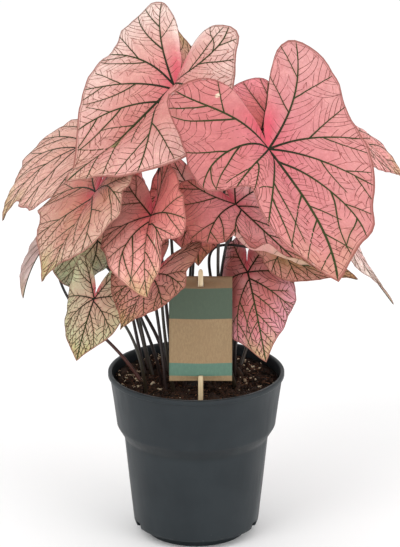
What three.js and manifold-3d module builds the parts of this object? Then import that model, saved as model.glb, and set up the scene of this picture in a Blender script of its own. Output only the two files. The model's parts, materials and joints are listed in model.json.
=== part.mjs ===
// A pink caladium in its nursery pot: thin pot, soil, tubers under the soil, one stalk and one
// blade for each leaf, and a card on a flat wooden stick pushed into the soil.
// Millimetres, +Z up, -Y to the front. The origin is the middle of the pot's foot, on the floor.
import * as THREE from "three";
import Module from "manifold-3d";
import { mergeVertices } from "three/addons/utils/BufferGeometryUtils.js";

const wasm = await Module();
wasm.setup();

// ---- Driving dimensions ----------------------------------------------------------------------

const GAP = 0.3; // clearance between pieces that touch

const POT = {
  rimRadius: 70,
  height: 135,
  wall: 1.3,
  lip: 4, // height of the thick lip round the rim
  lipStep: 1.5, // how far the lip stands out of the collar
  collarRadius: 63.3, // bottom of the collar
  collarHeight: 91,
  bodyRadius: 57.5, // top of the tapered body, under the collar
  bodyHeight: 82,
  baseRadius: 50, // bottom of the tapered body
  cornerHeight: 9.5,
  cornerRadius: 46.5, // inner edge of the rounded corner under the body
  undersideHeight: 5.5, // the ring with the drain holes, lifted off the floor
  footRadius: 40.5,
  segments: 48,
  drains: 8,
  drainRadius: 3.4,
};

const SOIL = { height: 124, bumps: 1.4, rootDepth: 24, rings: 6, segments: 32 };

// Tubers under the soil: centre, and half width and half height.
const TUBERS = [
  { at: [-26, -6, 90], half: [23, 14] },
  { at: [26, 8, 90], half: [22, 14] },
];

const BLADE_THICKNESS = 0.7;
const STALK = { base: 1.9, top: 1.2, sides: 6, step: 26, clear: 1 }; // clear: above the tuber

const CARD = { width: 49, bottom: 143, top: 229, thickness: 0.8, x: 3.5, y: -47 };
const WEAVE = { bow: 1.3, bend: 7, upper: 219.5, lower: 149 }; // the card's bends round the stick
const STICK = { width: 3.2, thickness: 1.2, foot: 98, top: 235, slot: 4.4 };

// ---- The outline of a leaf -------------------------------------------------------------------

// How far the margin lies from the stalk, as a share of the leaf's length, by the angle from the
// tip: a drawn-out tip, a full shoulder, a round rear lobe, and the notch between the lobes.
const MARGIN = [
  [0, 1.0], [7, 0.875], [16, 0.775], [30, 0.69], [48, 0.63], [68, 0.59], [90, 0.57], [110, 0.58],
  [126, 0.625], [140, 0.67], [150, 0.665], [158, 0.6], [164, 0.48], [169, 0.34], [174, 0.21],
  [177.5, 0.145], [180, 0.12],
];

// The mesh of a blade: angles from the tip to the notch, and rings from the stalk to the margin.
const COARSE = { angles: [0, 8, 20, 38, 58, 80, 104, 126, 144, 157, 166, 174, 180], rings: [0.34, 0.68, 1] };
const CLOSE = [
  0, 6, 13, 21, 30, 39, 48, 57, 66, 75, 84, 94, 104, 114, 124, 134, 143, 151, 158, 164, 170, 175, 180,
];
const FINE = { angles: CLOSE, rings: [0.34, 0.68, 1] };
const FINEST = { angles: CLOSE, rings: [0.25, 0.5, 0.75, 1] };

// ---- The leaves ------------------------------------------------------------------------------

// at: where the blade sits on its stalk. heading: the way the tip points, turned from +X towards
// +Y. pitch tips the tip down, roll turns the blade about its midrib. length: stalk to tip.
// width: of the left and right half, as a share of the plain outline. lobes: length of the rear
// lobes. gape: degrees that the notch opens. droop and lift: degrees that the tip and the lobes
// bend down. fold: degrees that each half rises from the midrib, arch: degrees that it bends back
// down towards its margin. skew: bend of the tip to the left. twist: degrees at the tip. full and
// rear: fuller shoulders and lobes. waves: [count, height, phase] round the margin. dents:
// stretches of the margin that are pulled in, or pushed out if negative, [share, angle, half
// width]. stalk: where it leaves the tuber, [x, y], and the two points that steer its curve.
const PLAIN = {
  roll: 0, width: [1, 1], lobes: 1, gape: 0, droop: 35, lift: 0, fold: [12, 12], arch: [35, 35],
  skew: 0, twist: 0, full: [0, 0], rear: [0, 0], waves: [], dents: [], grid: COARSE,
};

const LEAVES = [
  { // the highest leaf, upright over the left side
    at: [-17, -20, 374], heading: -146, pitch: 46, roll: 11, length: 123, width: [1.03, 1.12],
    lobes: 0.9, gape: 12, droop: -30, lift: -31, fold: [28, 35], arch: [83, 25], skew: 0.17,
    twist: -25, full: [0, -0.04], rear: [0, 0.19], waves: [[2, 2.5, -5], [3, 2, 20]],
    dents: [[-0.1, -116, 8], [0.1, 150, 24], [-0.13, 145, 10], [-0.03, 20, 8]], grid: FINEST,
    stalk: [[-14, -10], [-28, -38, 241], [-37, -42, 326]],
  },
  { // the broadest leaf, turned to the front, its left margin rolled under
    at: [54, -94, 345], heading: -50, pitch: 50, roll: 7, length: 122, width: [1.18, 1.19],
    lobes: 1.04, gape: 13, droop: 7, lift: -24, fold: [-1, 42], arch: [3, 144], skew: 0.12,
    twist: 52, rear: [0.22, 0.12], waves: [[2, 8, -35], [3, 6.5, -15]],
    dents: [[0.51, -49, 32], [0.14, -123, 22], [-0.09, -138, 6], [0.04, 35, 32], [-0.06, 21, 7]],
    grid: FINEST, stalk: [[39, -5], [1, -43, 197], [16, -45, 371]],
  },
  {
    at: [51, 16, 328], heading: -140, pitch: 49, roll: -13, length: 66, width: [0.86, 1.08],
    lobes: 0.97, gape: -4, droop: 40, lift: 2, fold: [13, 23], arch: [33, 8], twist: -2,
    waves: [[2, 2, 86], [3, 2, 16]], stalk: [[15, 9], [10, 42, 217], [42, 46, 286]],
  },
  { // the young leaf, still upright
    at: [-8, 11, 355], heading: 111, pitch: -69, roll: 7, length: 60, droop: 26, fold: [10, 3],
    arch: [35, 39], skew: -0.04, twist: 4, waves: [[3, 1.5, 15]],
    stalk: [[-14, -3], [0, 49, 189], [3, 55, 272]],
  },
  { // the wide leaf that hangs out to the left
    at: [-84, 39, 310], heading: -170, pitch: 13, roll: -15, length: 103, droop: 59,
    fold: [9, -3], arch: [11, 19], twist: 4, full: [0.09, 0], waves: [[2, 1.5, 80]],
    dents: [[-0.1, 42, 6], [0.13, 12, 9], [-0.13, -38, 6]], grid: FINE,
    stalk: [[-19, 13], [-23, 48, 212], [-153, 43, 228]],
  },
  {
    at: [-76, -66, 303], heading: -136, pitch: 44, roll: 16, length: 88, width: [0.85, 1.13],
    lobes: 0.85, gape: 5, droop: 5, lift: 3, fold: [19, 3], arch: [51, 6], twist: -8,
    full: [0.12, 0], dents: [[0.08, -5, 30], [-0.16, -68, 6], [-0.1, 75, 6], [0.07, 94, 6]],
    grid: FINE, stalk: [[-28, -13], [-20, -12, 158], [-65, -24, 216]],
  },
  { // the leaf in the middle of the front, its right margin tucked under
    at: [-34, -75, 287], heading: -106, pitch: 36, roll: 30, length: 71, width: [1.03, 1.05],
    lobes: 0.97, droop: 40, lift: -33, fold: [20, 22], arch: [20, 32], twist: -20, full: [0.06, 0],
    waves: [[2, 4, -40], [3, 2.5, -20]],
    dents: [[0.37, 33, 17], [0.07, 5, 7], [0.07, -43, 10], [-0.18, -86, 6], [0.07, 100, 6]],
    grid: FINE, stalk: [[-23, -27], [-24, -20, 196], [-53, -8, 273]],
  },
  {
    at: [30, -59, 291], heading: -38, pitch: 32, roll: 3, length: 81, width: [1.03, 0.97],
    lobes: 0.81, gape: 4, droop: 11, lift: -16, fold: [13, -1], arch: [29, 46], skew: 0.05,
    twist: -4, full: [0, -0.18], waves: [[2, 2.5, -5]],
    dents: [[-0.13, -30, 10], [0.09, -47, 6], [-0.06, -89, 6]], grid: FINE,
    stalk: [[21, -5], [12, -6, 212], [22, -46, 246]],
  },
  {
    at: [40, -31, 227], heading: -84, pitch: 49, roll: 22, length: 72, width: [0.98, 0.95],
    lobes: 0.95, gape: -7, droop: 35, lift: 35, fold: [-19, -7], arch: [44, 75], skew: 0.05,
    twist: -4, full: [0, 0.07], waves: [[3, 1.5, -15]],
    dents: [[-0.07, -28, 9], [-0.07, 57, 11], [-0.04, 25, 9]], grid: FINE,
    stalk: [[32, -3], [28, -11, 143], [30, -20, 183]],
  },
  {
    at: [-78, -62, 216], heading: -120, pitch: 59, roll: 2, length: 52, lobes: 1.05, gape: 4,
    droop: 9, lift: -8, fold: [9, 6], arch: [26, 43], skew: -0.03, twist: 4,
    waves: [[3, 2, -20]], dents: [[-0.05, -149, 6], [0.05, 3, 20], [-0.13, -100, 16]], grid: FINE,
    stalk: [[-38, -22], [-39, -30, 157], [-52, -42, 197]],
  },
  {
    at: [-32, -73, 239], heading: -129, pitch: 38, roll: 1, length: 59, lobes: 1.1, droop: 6,
    lift: 17, fold: [22, 22], arch: [32, 15], skew: 0.07, full: [0, -0.04], waves: [[3, 2, 10]],
    dents: [[0.11, -10, 24], [0.09, 103, 6], [-0.06, 83, 6]], grid: FINE,
    stalk: [[-13, -21], [-33, -32, 196], [-23, -45, 243]],
  },
  {
    at: [68, -22, 239], heading: -15, pitch: 22, roll: 1, length: 61, lobes: 0.96, droop: 2,
    lift: -10, fold: [21, 18], arch: [31, 41], twist: 6, waves: [[2, 2.5, 20], [3, 2.5, -15]],
    dents: [[0.09, -112, 6], [0.04, -38, 25]], grid: FINE,
    stalk: [[34, 7], [11, 5, 238], [-18, -15, 257]],
  },
  { // seen edge on, behind the broadest leaf
    at: [112, 2, 335], heading: 18, pitch: 31, roll: 11, length: 72, droop: 26, fold: [14, 10],
    arch: [47, 35], twist: 4, waves: [[3, 2, 20]], stalk: [[30, 17], [21, 22, 181], [48, 18, 255]],
  },
  { // narrow and folded, hanging at the right
    at: [117, 0, 247], heading: -17, pitch: 58, roll: -4, length: 62, width: [0.57, 0.63],
    droop: 21, fold: [31, 28], arch: [52, 55], twist: -3, waves: [[2, 2.5, -10], [3, 4.5, -5]],
    stalk: [[36, 12], [12, 16, 193], [75, 15, 213]],
  },
  { // narrow and folded, hanging at the left
    at: [-113, 10, 243], heading: 168, pitch: 49, roll: 4, length: 58, width: [0.57, 0.59],
    droop: 42, fold: [40, 34], arch: [41, 45], twist: 3, waves: [[3, 2, 5]],
    stalk: [[-33, -2], [-66, 16, 174], [-112, 29, 157]],
  },
  {
    at: [0, 13, 275], heading: -88, pitch: 31, roll: -1, length: 66, gape: -6, droop: 13,
    fold: [10, 10], stalk: [[-10, -14], [-8, -9, 166], [-5, -5, 223]],
  },
  { // turned over, so that its underside shows
    at: [-77, 2, 249], heading: -71, pitch: 97, roll: -12, length: 75, droop: 61, fold: [-1, 10],
    arch: [48, 35], twist: -3, stalk: [[-33, 14], [-46, 51, 179], [-71, 63, 221]],
  },
  {
    at: [-43, 46, 277], heading: -23, pitch: 69, roll: -16, length: 63, droop: 53, fold: [2, 18],
    arch: [46, 23], waves: [[3, 1.5, 50]], stalk: [[-28, 10], [-50, 21, 174], [-58, 33, 231]],
  },
  // the leaves at the back
  {
    at: [-34, 77, 348], heading: 108, pitch: 43, roll: 16, length: 82, lift: -5, twist: 6,
    stalk: [[-17, 8], [-15, 26, 203], [-22, 48, 284]],
  },
  {
    at: [94, 65, 317], heading: 50, pitch: 36, roll: 12, length: 69, lift: -5, twist: 7,
    stalk: [[29, 22], [47, 56, 173], [88, 91, 239]],
  },
  {
    at: [-76, 66, 287], heading: 140, pitch: 44, roll: -20, length: 67, lift: -5, twist: 7,
    stalk: [[-36, 10], [-54, 26, 184], [-65, 49, 240]],
  },
  {
    at: [75, 42, 273], heading: 78, pitch: 58, roll: 2, length: 74, lift: -5,
    stalk: [[20, 23], [27, 30, 163], [47, 36, 218]],
  },
  {
    at: [40, 64, 278], heading: 66, pitch: 59, length: 75, lift: -5, twist: -16,
    stalk: [[16, 18], [17, 39, 166], [24, 54, 222]],
  },
].map((leaf) => ({ ...PLAIN, ...leaf }));

// ---- Colours ---------------------------------------------------------------------------------

const finish = (color, roughness) => new THREE.MeshStandardMaterial({ color, roughness, metalness: 0 });
const LOOKS = {
  pot: finish(0x3c4446, 0.45),
  soil: finish(0x3a2a22, 1),
  tuber: finish(0x6b4a34, 0.9),
  blade: finish(0xe58c98, 0.6),
  stalk: finish(0x3a2c26, 0.55),
  card: finish(0xa58a68, 0.8),
  stick: finish(0xe3d0a4, 0.8),
};

// ---- Helpers ---------------------------------------------------------------------------------

const rad = THREE.MathUtils.degToRad;
const { clamp, lerp, smoothstep } = THREE.MathUtils;

// A geometry with only its corners left, and the shared ones merged.
function cleaned(geometry) {
  geometry.deleteAttribute("normal");
  geometry.deleteAttribute("uv");
  return mergeVertices(geometry, 1e-3);
}

function toSolid(geometry) {
  const { position } = geometry.attributes;
  const triVerts = new Uint32Array(geometry.index.array);
  return new wasm.Manifold(new wasm.Mesh({ numProp: 3, vertProperties: position.array, triVerts }));
}

function fromSolid(solid) {
  const { vertProperties, triVerts } = solid.getMesh();
  const geometry = new THREE.BufferGeometry();
  geometry.setAttribute("position", new THREE.BufferAttribute(vertProperties, 3));
  geometry.setIndex(new THREE.BufferAttribute(triVerts, 1));
  return geometry;
}

// A geometry with the other geometries taken away from it.
function cut(geometry, tools) {
  return fromSolid(tools.reduce((rest, tool) => rest.subtract(toSolid(tool)), toSolid(geometry)));
}

const part = new THREE.Group();

function add(name, geometry, material) {
  geometry.computeVertexNormals();
  const mesh = new THREE.Mesh(geometry, material);
  mesh.name = name;
  part.add(mesh);
}

// A profile of [radius, height] points turned about the upright axis.
function turned(profile, segments) {
  const points = profile.map(([radius, height]) => new THREE.Vector2(radius, height));
  return cleaned(new THREE.LatheGeometry(points, segments).rotateX(Math.PI / 2));
}

// ---- Pot -------------------------------------------------------------------------------------

// The pot's outside, or the surface at a depth inside it, from the middle of the floor upwards.
function potProfile(depth) {
  const { footRadius, undersideHeight, cornerRadius, cornerHeight, baseRadius } = POT;
  const foot = footRadius - depth;
  const ring = undersideHeight + depth;
  return [
    [0, depth],
    [foot, depth],
    [foot, ring],
    [cornerRadius - depth / 2, ring],
    [lerp(cornerRadius, baseRadius, 0.75) - depth, lerp(undersideHeight, cornerHeight, 0.3) + depth / 2],
    [baseRadius - depth, cornerHeight + depth / 2],
    [POT.bodyRadius - depth, POT.bodyHeight],
    [POT.collarRadius - depth, POT.collarHeight],
    [POT.rimRadius - POT.lipStep - depth, POT.height - POT.lip],
  ];
}

function pot() {
  const lip = [
    [POT.rimRadius, POT.height - POT.lip],
    [POT.rimRadius, POT.height],
    [POT.rimRadius - POT.lipStep - POT.wall, POT.height],
  ];
  const wall = turned([...potProfile(0), ...lip, ...potProfile(POT.wall).reverse()], POT.segments);
  const depth = 2 * POT.cornerHeight;
  const drains = Array.from({ length: POT.drains }, (_, i) => {
    const turn = ((i + 0.5) / POT.drains) * 2 * Math.PI;
    const hole = new THREE.CylinderGeometry(POT.drainRadius, POT.drainRadius, depth, 12);
    hole.rotateX(Math.PI / 2);
    return cleaned(hole.translate(POT.cornerRadius * Math.cos(turn), POT.cornerRadius * Math.sin(turn), 0));
  });
  add("pot", cut(wall, drains), LOOKS.pot);
}

// ---- Tubers ----------------------------------------------------------------------------------

function tuberGeometry({ at, half: [width, height] }, grow = 0) {
  const ball = new THREE.SphereGeometry(1, 16, 9).rotateX(Math.PI / 2);
  ball.scale(width + grow, width + grow, height + grow);
  return cleaned(ball.translate(...at));
}

// The height of the tubers' upper side at a place, or of the deepest roots beside them.
function rootHeight(x, y) {
  const heights = TUBERS.map(({ at, half: [width, height] }) => {
    const away = Math.hypot(x - at[0], y - at[1]) / width;
    return at[2] + height * Math.sqrt(Math.max(0, 1 - away * away));
  });
  return Math.max(...heights, SOIL.height - SOIL.rootDepth);
}

// ---- Blades ----------------------------------------------------------------------------------

// How far the margin lies at an angle: a smooth curve through the points of MARGIN.
function reach(angle) {
  const last = MARGIN.length - 1;
  const i = MARGIN.findLastIndex(([start], k) => start <= angle && k < last);
  const slope = (k) => {
    const before = MARGIN[Math.max(k - 1, 0)];
    const after = MARGIN[Math.min(k + 1, last)];
    return (after[1] - before[1]) / (after[0] - before[0]);
  };
  const width = MARGIN[i + 1][0] - MARGIN[i][0];
  const t = (angle - MARGIN[i][0]) / width;
  const ends = lerp(MARGIN[i][1], MARGIN[i + 1][1], t * t * (3 - 2 * t));
  return ends + width * t * (1 - t) * ((1 - t) * slope(i) - t * slope(i + 1));
}

// A point of the middle of a blade. The angle runs from the tip, 0, round the left lobe to the
// notch at 180, or round the right lobe to -180; the share from the stalk, 0, to the margin, 1.
function bladePoint(leaf, angle, share) {
  const { length } = leaf;
  const away = Math.abs(angle);
  const side = angle > 0 ? 0 : 1;

  // the flat outline
  let radius = reach(away) * share * length;
  radius *= 1 + leaf.full[side] * Math.sin(rad(2 * Math.min(away, 90))) ** 2;
  radius *= 1 + leaf.rear[side] * Math.sin(rad(2 * Math.max(away - 90, 0))) ** 2;
  radius *= leaf.dents.reduce((rest, [depth, at, width]) =>
    rest - depth * Math.exp(-(((angle - at) / width) ** 2)), 1);
  const opened = away - leaf.gape * smoothstep(away, 90, 150) * clamp((180 - away) / 8, 0, 1);
  const turn = rad(Math.sign(angle) * opened);
  const ahead = radius * Math.cos(turn);
  const along = ahead < 0 ? ahead * leaf.lobes : ahead;
  const across = radius * Math.sin(turn) * leaf.width[side] + (leaf.skew * along * along) / length;

  // each half rises from the midrib and arches back down
  const half = across > 0 ? 0 : 1;
  const fold = rad(leaf.fold[half]);
  const arch = rad(leaf.arch[half]) / (0.6 * length);
  const end = fold - arch * Math.abs(across);
  const out = (Math.sign(across) * (Math.sin(fold) - Math.sin(end))) / arch;
  let rise = (Math.cos(end) - Math.cos(fold)) / arch;
  for (const [count, height, phase] of leaf.waves) {
    rise += height * Math.cos(count * (turn - rad(phase))) * (radius / (0.62 * length)) ** 2;
  }

  // the twist, then the bend of the tip or of the lobes
  const twist = rad(leaf.twist) * (along / length);
  const y = out * Math.cos(twist) - rise * Math.sin(twist);
  const up = out * Math.sin(twist) + rise * Math.cos(twist);
  const bend = along >= 0 ? rad(leaf.droop) / length : rad(leaf.lift) / (0.6 * length);
  const steep = bend * along;
  const x = bend ? Math.sin(steep) / bend : along;
  const down = bend ? (1 - Math.cos(steep)) / bend : 0;
  const point = new THREE.Vector3(x + up * Math.sin(steep), y, up * Math.cos(steep) - down);

  const pose = new THREE.Euler(rad(leaf.roll), rad(leaf.pitch), rad(leaf.heading), "ZYX");
  return point.applyEuler(pose).add(new THREE.Vector3(...leaf.at));
}

// The middle surface of a blade: a point at the stalk, then the rings, each from the tip round the
// left lobe, the notch and the right lobe.
function bladeSheet(leaf) {
  const { angles, rings } = leaf.grid;
  const around = [...angles, ...angles.slice(1, -1).reverse().map((angle) => -angle)];
  const points = [bladePoint(leaf, 0, 0)];
  for (const share of rings) {
    points.push(...around.map((angle) => bladePoint(leaf, angle, share)));
  }
  const count = around.length;
  const corners = [];
  for (let i = 0; i < count; i++) {
    const next = (i + 1) % count;
    corners.push(0, 1 + i, 1 + next);
    for (let ring = 1; ring < rings.length; ring++) {
      const inner = 1 + (ring - 1) * count;
      const outer = inner + count;
      corners.push(inner + i, outer + i, outer + next);
      corners.push(inner + i, outer + next, inner + next);
    }
  }
  const sheet = new THREE.BufferGeometry().setFromPoints(points).setIndex(corners);
  sheet.computeVertexNormals();
  return { sheet, count };
}

// A blade: the middle surface moved half the thickness up and down, closed round the margin.
function bladeGeometry({ sheet, count }) {
  const { position, normal } = sheet.attributes;
  const face = (way) => Array.from({ length: position.count }, (_, i) => {
    const off = new THREE.Vector3().fromBufferAttribute(normal, i).multiplyScalar((way * BLADE_THICKNESS) / 2);
    return new THREE.Vector3().fromBufferAttribute(position, i).add(off);
  });
  const top = [...sheet.index.array];
  const under = position.count;
  const corners = [...top, ...top.map((corner) => corner + under).reverse()];
  const margin = position.count - count;
  for (let i = 0; i < count; i++) {
    const here = margin + i;
    const next = margin + ((i + 1) % count);
    corners.push(here, here + under, next + under);
    corners.push(here, next + under, next);
  }
  return new THREE.BufferGeometry().setFromPoints([...face(1), ...face(-1)]).setIndex(corners);
}

// ---- Stalks ----------------------------------------------------------------------------------

// Where the stalk ends under its blade: clear of the underside, which may dip beside the hub, and
// of the stalk's own slant.
function seat(leaf, { sheet, count }) {
  const hub = new THREE.Vector3(...leaf.at);
  const normal = new THREE.Vector3().fromBufferAttribute(sheet.attributes.normal, 0);
  let dip = 0;
  for (let i = 1; i <= count; i++) {
    const away = new THREE.Vector3().fromBufferAttribute(sheet.attributes.position, i).sub(hub);
    const down = -away.dot(normal);
    dip = Math.max(dip, down / Math.sqrt(away.lengthSq() - down * down));
  }
  const slant = hub.clone().sub(new THREE.Vector3(...leaf.stalk[2])).normalize().cross(normal).length();
  const drop = BLADE_THICKNESS / 2 + GAP + STALK.top * (dip + slant);
  return hub.addScaledVector(normal, -drop);
}

// A tapered tube along the stalk's curve; grow widens it and moves its foot on to the tuber.
function stalkGeometry(leaf, end, grow = 0) {
  const [[x, y], low, high] = leaf.stalk;
  const foot = new THREE.Vector3(x, y, rootHeight(x, y) + STALK.clear);
  const curve = new THREE.CubicBezierCurve3(foot, new THREE.Vector3(...low), new THREE.Vector3(...high), end);
  const section = new THREE.Shape(Array.from({ length: STALK.sides }, (_, i) => {
    const turn = (i / STALK.sides) * 2 * Math.PI;
    return new THREE.Vector2(Math.cos(turn), Math.sin(turn));
  }));
  const steps = Math.round(curve.getLength() / STALK.step);
  const tube = cleaned(new THREE.ExtrudeGeometry(section, { steps, extrudePath: curve, bevelEnabled: false }));
  const centres = curve.getSpacedPoints(steps);
  const { position } = tube.attributes;
  for (let i = 0; i < position.count; i++) {
    const corner = new THREE.Vector3().fromBufferAttribute(position, i);
    const gaps = centres.map((centre) => centre.distanceTo(corner));
    const nearest = gaps.indexOf(Math.min(...gaps));
    const radius = lerp(STALK.base, STALK.top, nearest / steps) + grow;
    corner.sub(centres[nearest]).multiplyScalar(radius).add(centres[nearest]);
    if (grow && nearest === 0) corner.addScaledVector(curve.getTangent(0), -1.5 * STALK.clear);
    position.setXYZ(i, ...corner);
  }
  return tube;
}

// ---- Soil ------------------------------------------------------------------------------------

function bump(x, y) {
  return Math.sin(x / 7) * Math.cos(y / 9 + 1) + 0.5 * Math.sin((x + y) / 4 + 2);
}

function soil(tools) {
  const side = potProfile(POT.wall + GAP);
  const [lowRadius, lowHeight] = side.at(-2);
  const [highRadius, highHeight] = side.at(-1);
  const share = (SOIL.height - lowHeight) / (highHeight - lowHeight);
  const edge = lerp(lowRadius, highRadius, share);
  const top = Array.from({ length: SOIL.rings + 1 }, (_, i) => [edge * (1 - i / SOIL.rings), SOIL.height]);
  const block = turned([...side.slice(0, -1), ...top], SOIL.segments);
  const { position } = block.attributes;
  for (let i = 0; i < position.count; i++) {
    const [x, y, z] = [position.getX(i), position.getY(i), position.getZ(i)];
    const inside = Math.hypot(x, y) < edge - 1;
    if (z > SOIL.height - 1 && inside) position.setZ(i, z + SOIL.bumps * bump(x, y));
  }
  add("soil", cut(block, tools), LOOKS.soil);
}

// ---- Card and stick --------------------------------------------------------------------------

// The card stands in front of the stick, and bends behind it at its upper and lower edge.
function bow(height) {
  const half = WEAVE.bend / 2;
  const upper = smoothstep(height, WEAVE.upper - half, WEAVE.upper + half);
  const lower = 1 - smoothstep(height, WEAVE.lower - half, WEAVE.lower + half);
  return WEAVE.bow * (2 * Math.max(upper, lower) - 1);
}

// An outline in Y and Z, or a flat stick's in X and Z, made solid along the third axis.
function slab(outline, depth, axes) {
  const shape = new THREE.Shape(outline.map((point) => new THREE.Vector2(...point)));
  const solid = new THREE.ExtrudeGeometry(shape, { depth, bevelEnabled: false });
  solid.translate(0, 0, -depth / 2);
  return cleaned(solid.applyMatrix4(new THREE.Matrix4().makeBasis(...axes)));
}

const [X, Y, Z] = [new THREE.Vector3(1, 0, 0), new THREE.Vector3(0, 1, 0), new THREE.Vector3(0, 0, 1)];

function card() {
  const bends = [WEAVE.lower, WEAVE.upper].flatMap((middle) =>
    [-0.5, -0.25, 0, 0.25, 0.5].map((share) => middle + share * WEAVE.bend));
  const heights = [CARD.bottom, ...bends, CARD.top];
  const half = CARD.thickness / 2;
  const front = heights.map((height) => [bow(height) - half, height]);
  const back = heights.map((height) => [bow(height) + half, height]).reverse();
  const sheet = slab([...back, ...front], CARD.width, [Y, Z, X]);
  const slots = [WEAVE.lower, WEAVE.upper].map((middle) =>
    cleaned(new THREE.BoxGeometry(STICK.slot, 6 * WEAVE.bow, WEAVE.bend).translate(0, 0, middle)));
  add("tag_card", cut(sheet, slots).translate(CARD.x, CARD.y, 0), LOOKS.card);
}

// The flat stick: a rounded upper end, and a blunt foot in the soil.
function stickGeometry(grow = 0) {
  const half = STICK.width / 2 + grow;
  const foot = STICK.foot - grow;
  const end = Array.from({ length: 7 }, (_, i) => {
    const turn = (i / 6) * Math.PI;
    return [half * Math.cos(turn), STICK.top - 2 * half + 2 * half * Math.sin(turn)];
  });
  const outline = [[-half * 0.7, foot], [half * 0.7, foot], [half, foot + half], ...end, [-half, foot + half]];
  const stick = slab(outline, STICK.thickness + 2 * grow, [X, Z, Y.clone().negate()]);
  return stick.translate(CARD.x, CARD.y, 0);
}

// ---- The part --------------------------------------------------------------------------------

pot();
TUBERS.forEach((tuber, i) => add("tuber_" + (i + 1), tuberGeometry(tuber), LOOKS.tuber));

const holes = LEAVES.map((leaf, i) => {
  const name = "leaf_" + String(i + 1).padStart(2, "0");
  const blade = bladeSheet(leaf);
  const end = seat(leaf, blade);
  add(name + "_blade", bladeGeometry(blade), LOOKS.blade);
  add(name + "_stalk", stalkGeometry(leaf, end), LOOKS.stalk);
  return stalkGeometry(leaf, end, GAP);
});

soil([...holes, stickGeometry(GAP), ...TUBERS.map((tuber) => tuberGeometry(tuber, GAP))]);
card();
add("tag_stick", stickGeometry(), LOOKS.stick);

export default part;
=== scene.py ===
# %% [markdown]
# # A pink caladium in its nursery pot
#
# Heart-shaped leaves, pink with near-black veins, stand on thin dark stalks over a thin plastic
# pot. A paper card sits on a flat wooden stick in the soil. The solids in the frame give the place
# and size of each piece; this script grows the fine pieces over them, from the same formulas.

# %% The frame
import json
import math

import bpy
import numpy as np
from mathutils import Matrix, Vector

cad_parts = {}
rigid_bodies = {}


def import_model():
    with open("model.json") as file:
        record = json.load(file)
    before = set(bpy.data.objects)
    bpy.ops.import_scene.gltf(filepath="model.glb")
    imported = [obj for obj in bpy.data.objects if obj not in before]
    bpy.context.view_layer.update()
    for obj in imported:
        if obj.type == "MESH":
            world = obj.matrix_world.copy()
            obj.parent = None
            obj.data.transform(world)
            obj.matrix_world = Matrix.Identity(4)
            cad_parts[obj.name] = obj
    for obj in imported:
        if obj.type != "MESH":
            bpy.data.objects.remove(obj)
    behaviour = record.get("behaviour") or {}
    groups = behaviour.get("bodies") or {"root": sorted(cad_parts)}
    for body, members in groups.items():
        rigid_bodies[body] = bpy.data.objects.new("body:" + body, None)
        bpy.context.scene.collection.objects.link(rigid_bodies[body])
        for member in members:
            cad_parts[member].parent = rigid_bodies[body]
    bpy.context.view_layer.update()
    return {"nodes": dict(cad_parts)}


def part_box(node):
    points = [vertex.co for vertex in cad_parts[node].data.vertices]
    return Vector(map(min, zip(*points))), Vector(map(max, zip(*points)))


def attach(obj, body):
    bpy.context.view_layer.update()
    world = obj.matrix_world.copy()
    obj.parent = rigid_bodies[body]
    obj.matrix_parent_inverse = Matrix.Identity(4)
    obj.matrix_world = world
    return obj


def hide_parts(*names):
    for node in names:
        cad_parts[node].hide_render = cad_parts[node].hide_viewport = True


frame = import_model()
MM = 0.001  # every size below is in millimetres, and a mesh is made in metres
print("frame:", len(frame["nodes"]), "solids")

# %% [markdown]
# ## Camera
# It looks slightly down on the pot, from far off with a long lens, so that the leaves keep their
# true sizes.

# %% Camera
FOCAL_PIXELS, LONG_SIDE_PIXELS = 3148, 547
LOOKS_DOWN = 18.7  # degrees
eye = bpy.data.objects.new("Camera", bpy.data.cameras.new("Camera"))
bpy.context.scene.collection.objects.link(eye)
eye.data.sensor_width = 36
eye.data.lens = eye.data.sensor_width * FOCAL_PIXELS / LONG_SIDE_PIXELS
eye.data.clip_start, eye.data.clip_end = 0.1, 20
eye.location = (0.003, -2.3424, 1.0085)
eye.rotation_euler = (math.radians(90 - LOOKS_DOWN), 0, 0)
bpy.context.scene.camera = eye
print("camera: lens of", round(eye.data.lens), "mm")

# %% [markdown]
# ## Making a mesh
# Every piece is a set of points and faces from whole numpy arrays. Marks are one number or one
# colour for each point, which the finishes read.


# %% Making a mesh
def add_mark(mesh, name, values):
    """values holds one array for each part of the piece, of numbers or of colours. A part without
    the mark gives zeros."""
    coloured = max(value.ndim for value in values) == 2
    if coloured:
        values = [value if value.ndim == 2 else np.zeros((len(value), 4)) for value in values]
    layer = mesh.attributes.new(name, "FLOAT_COLOR" if coloured else "FLOAT", "POINT")
    layer.data.foreach_set("color" if coloured else "value", np.concatenate(values).ravel())


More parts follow.
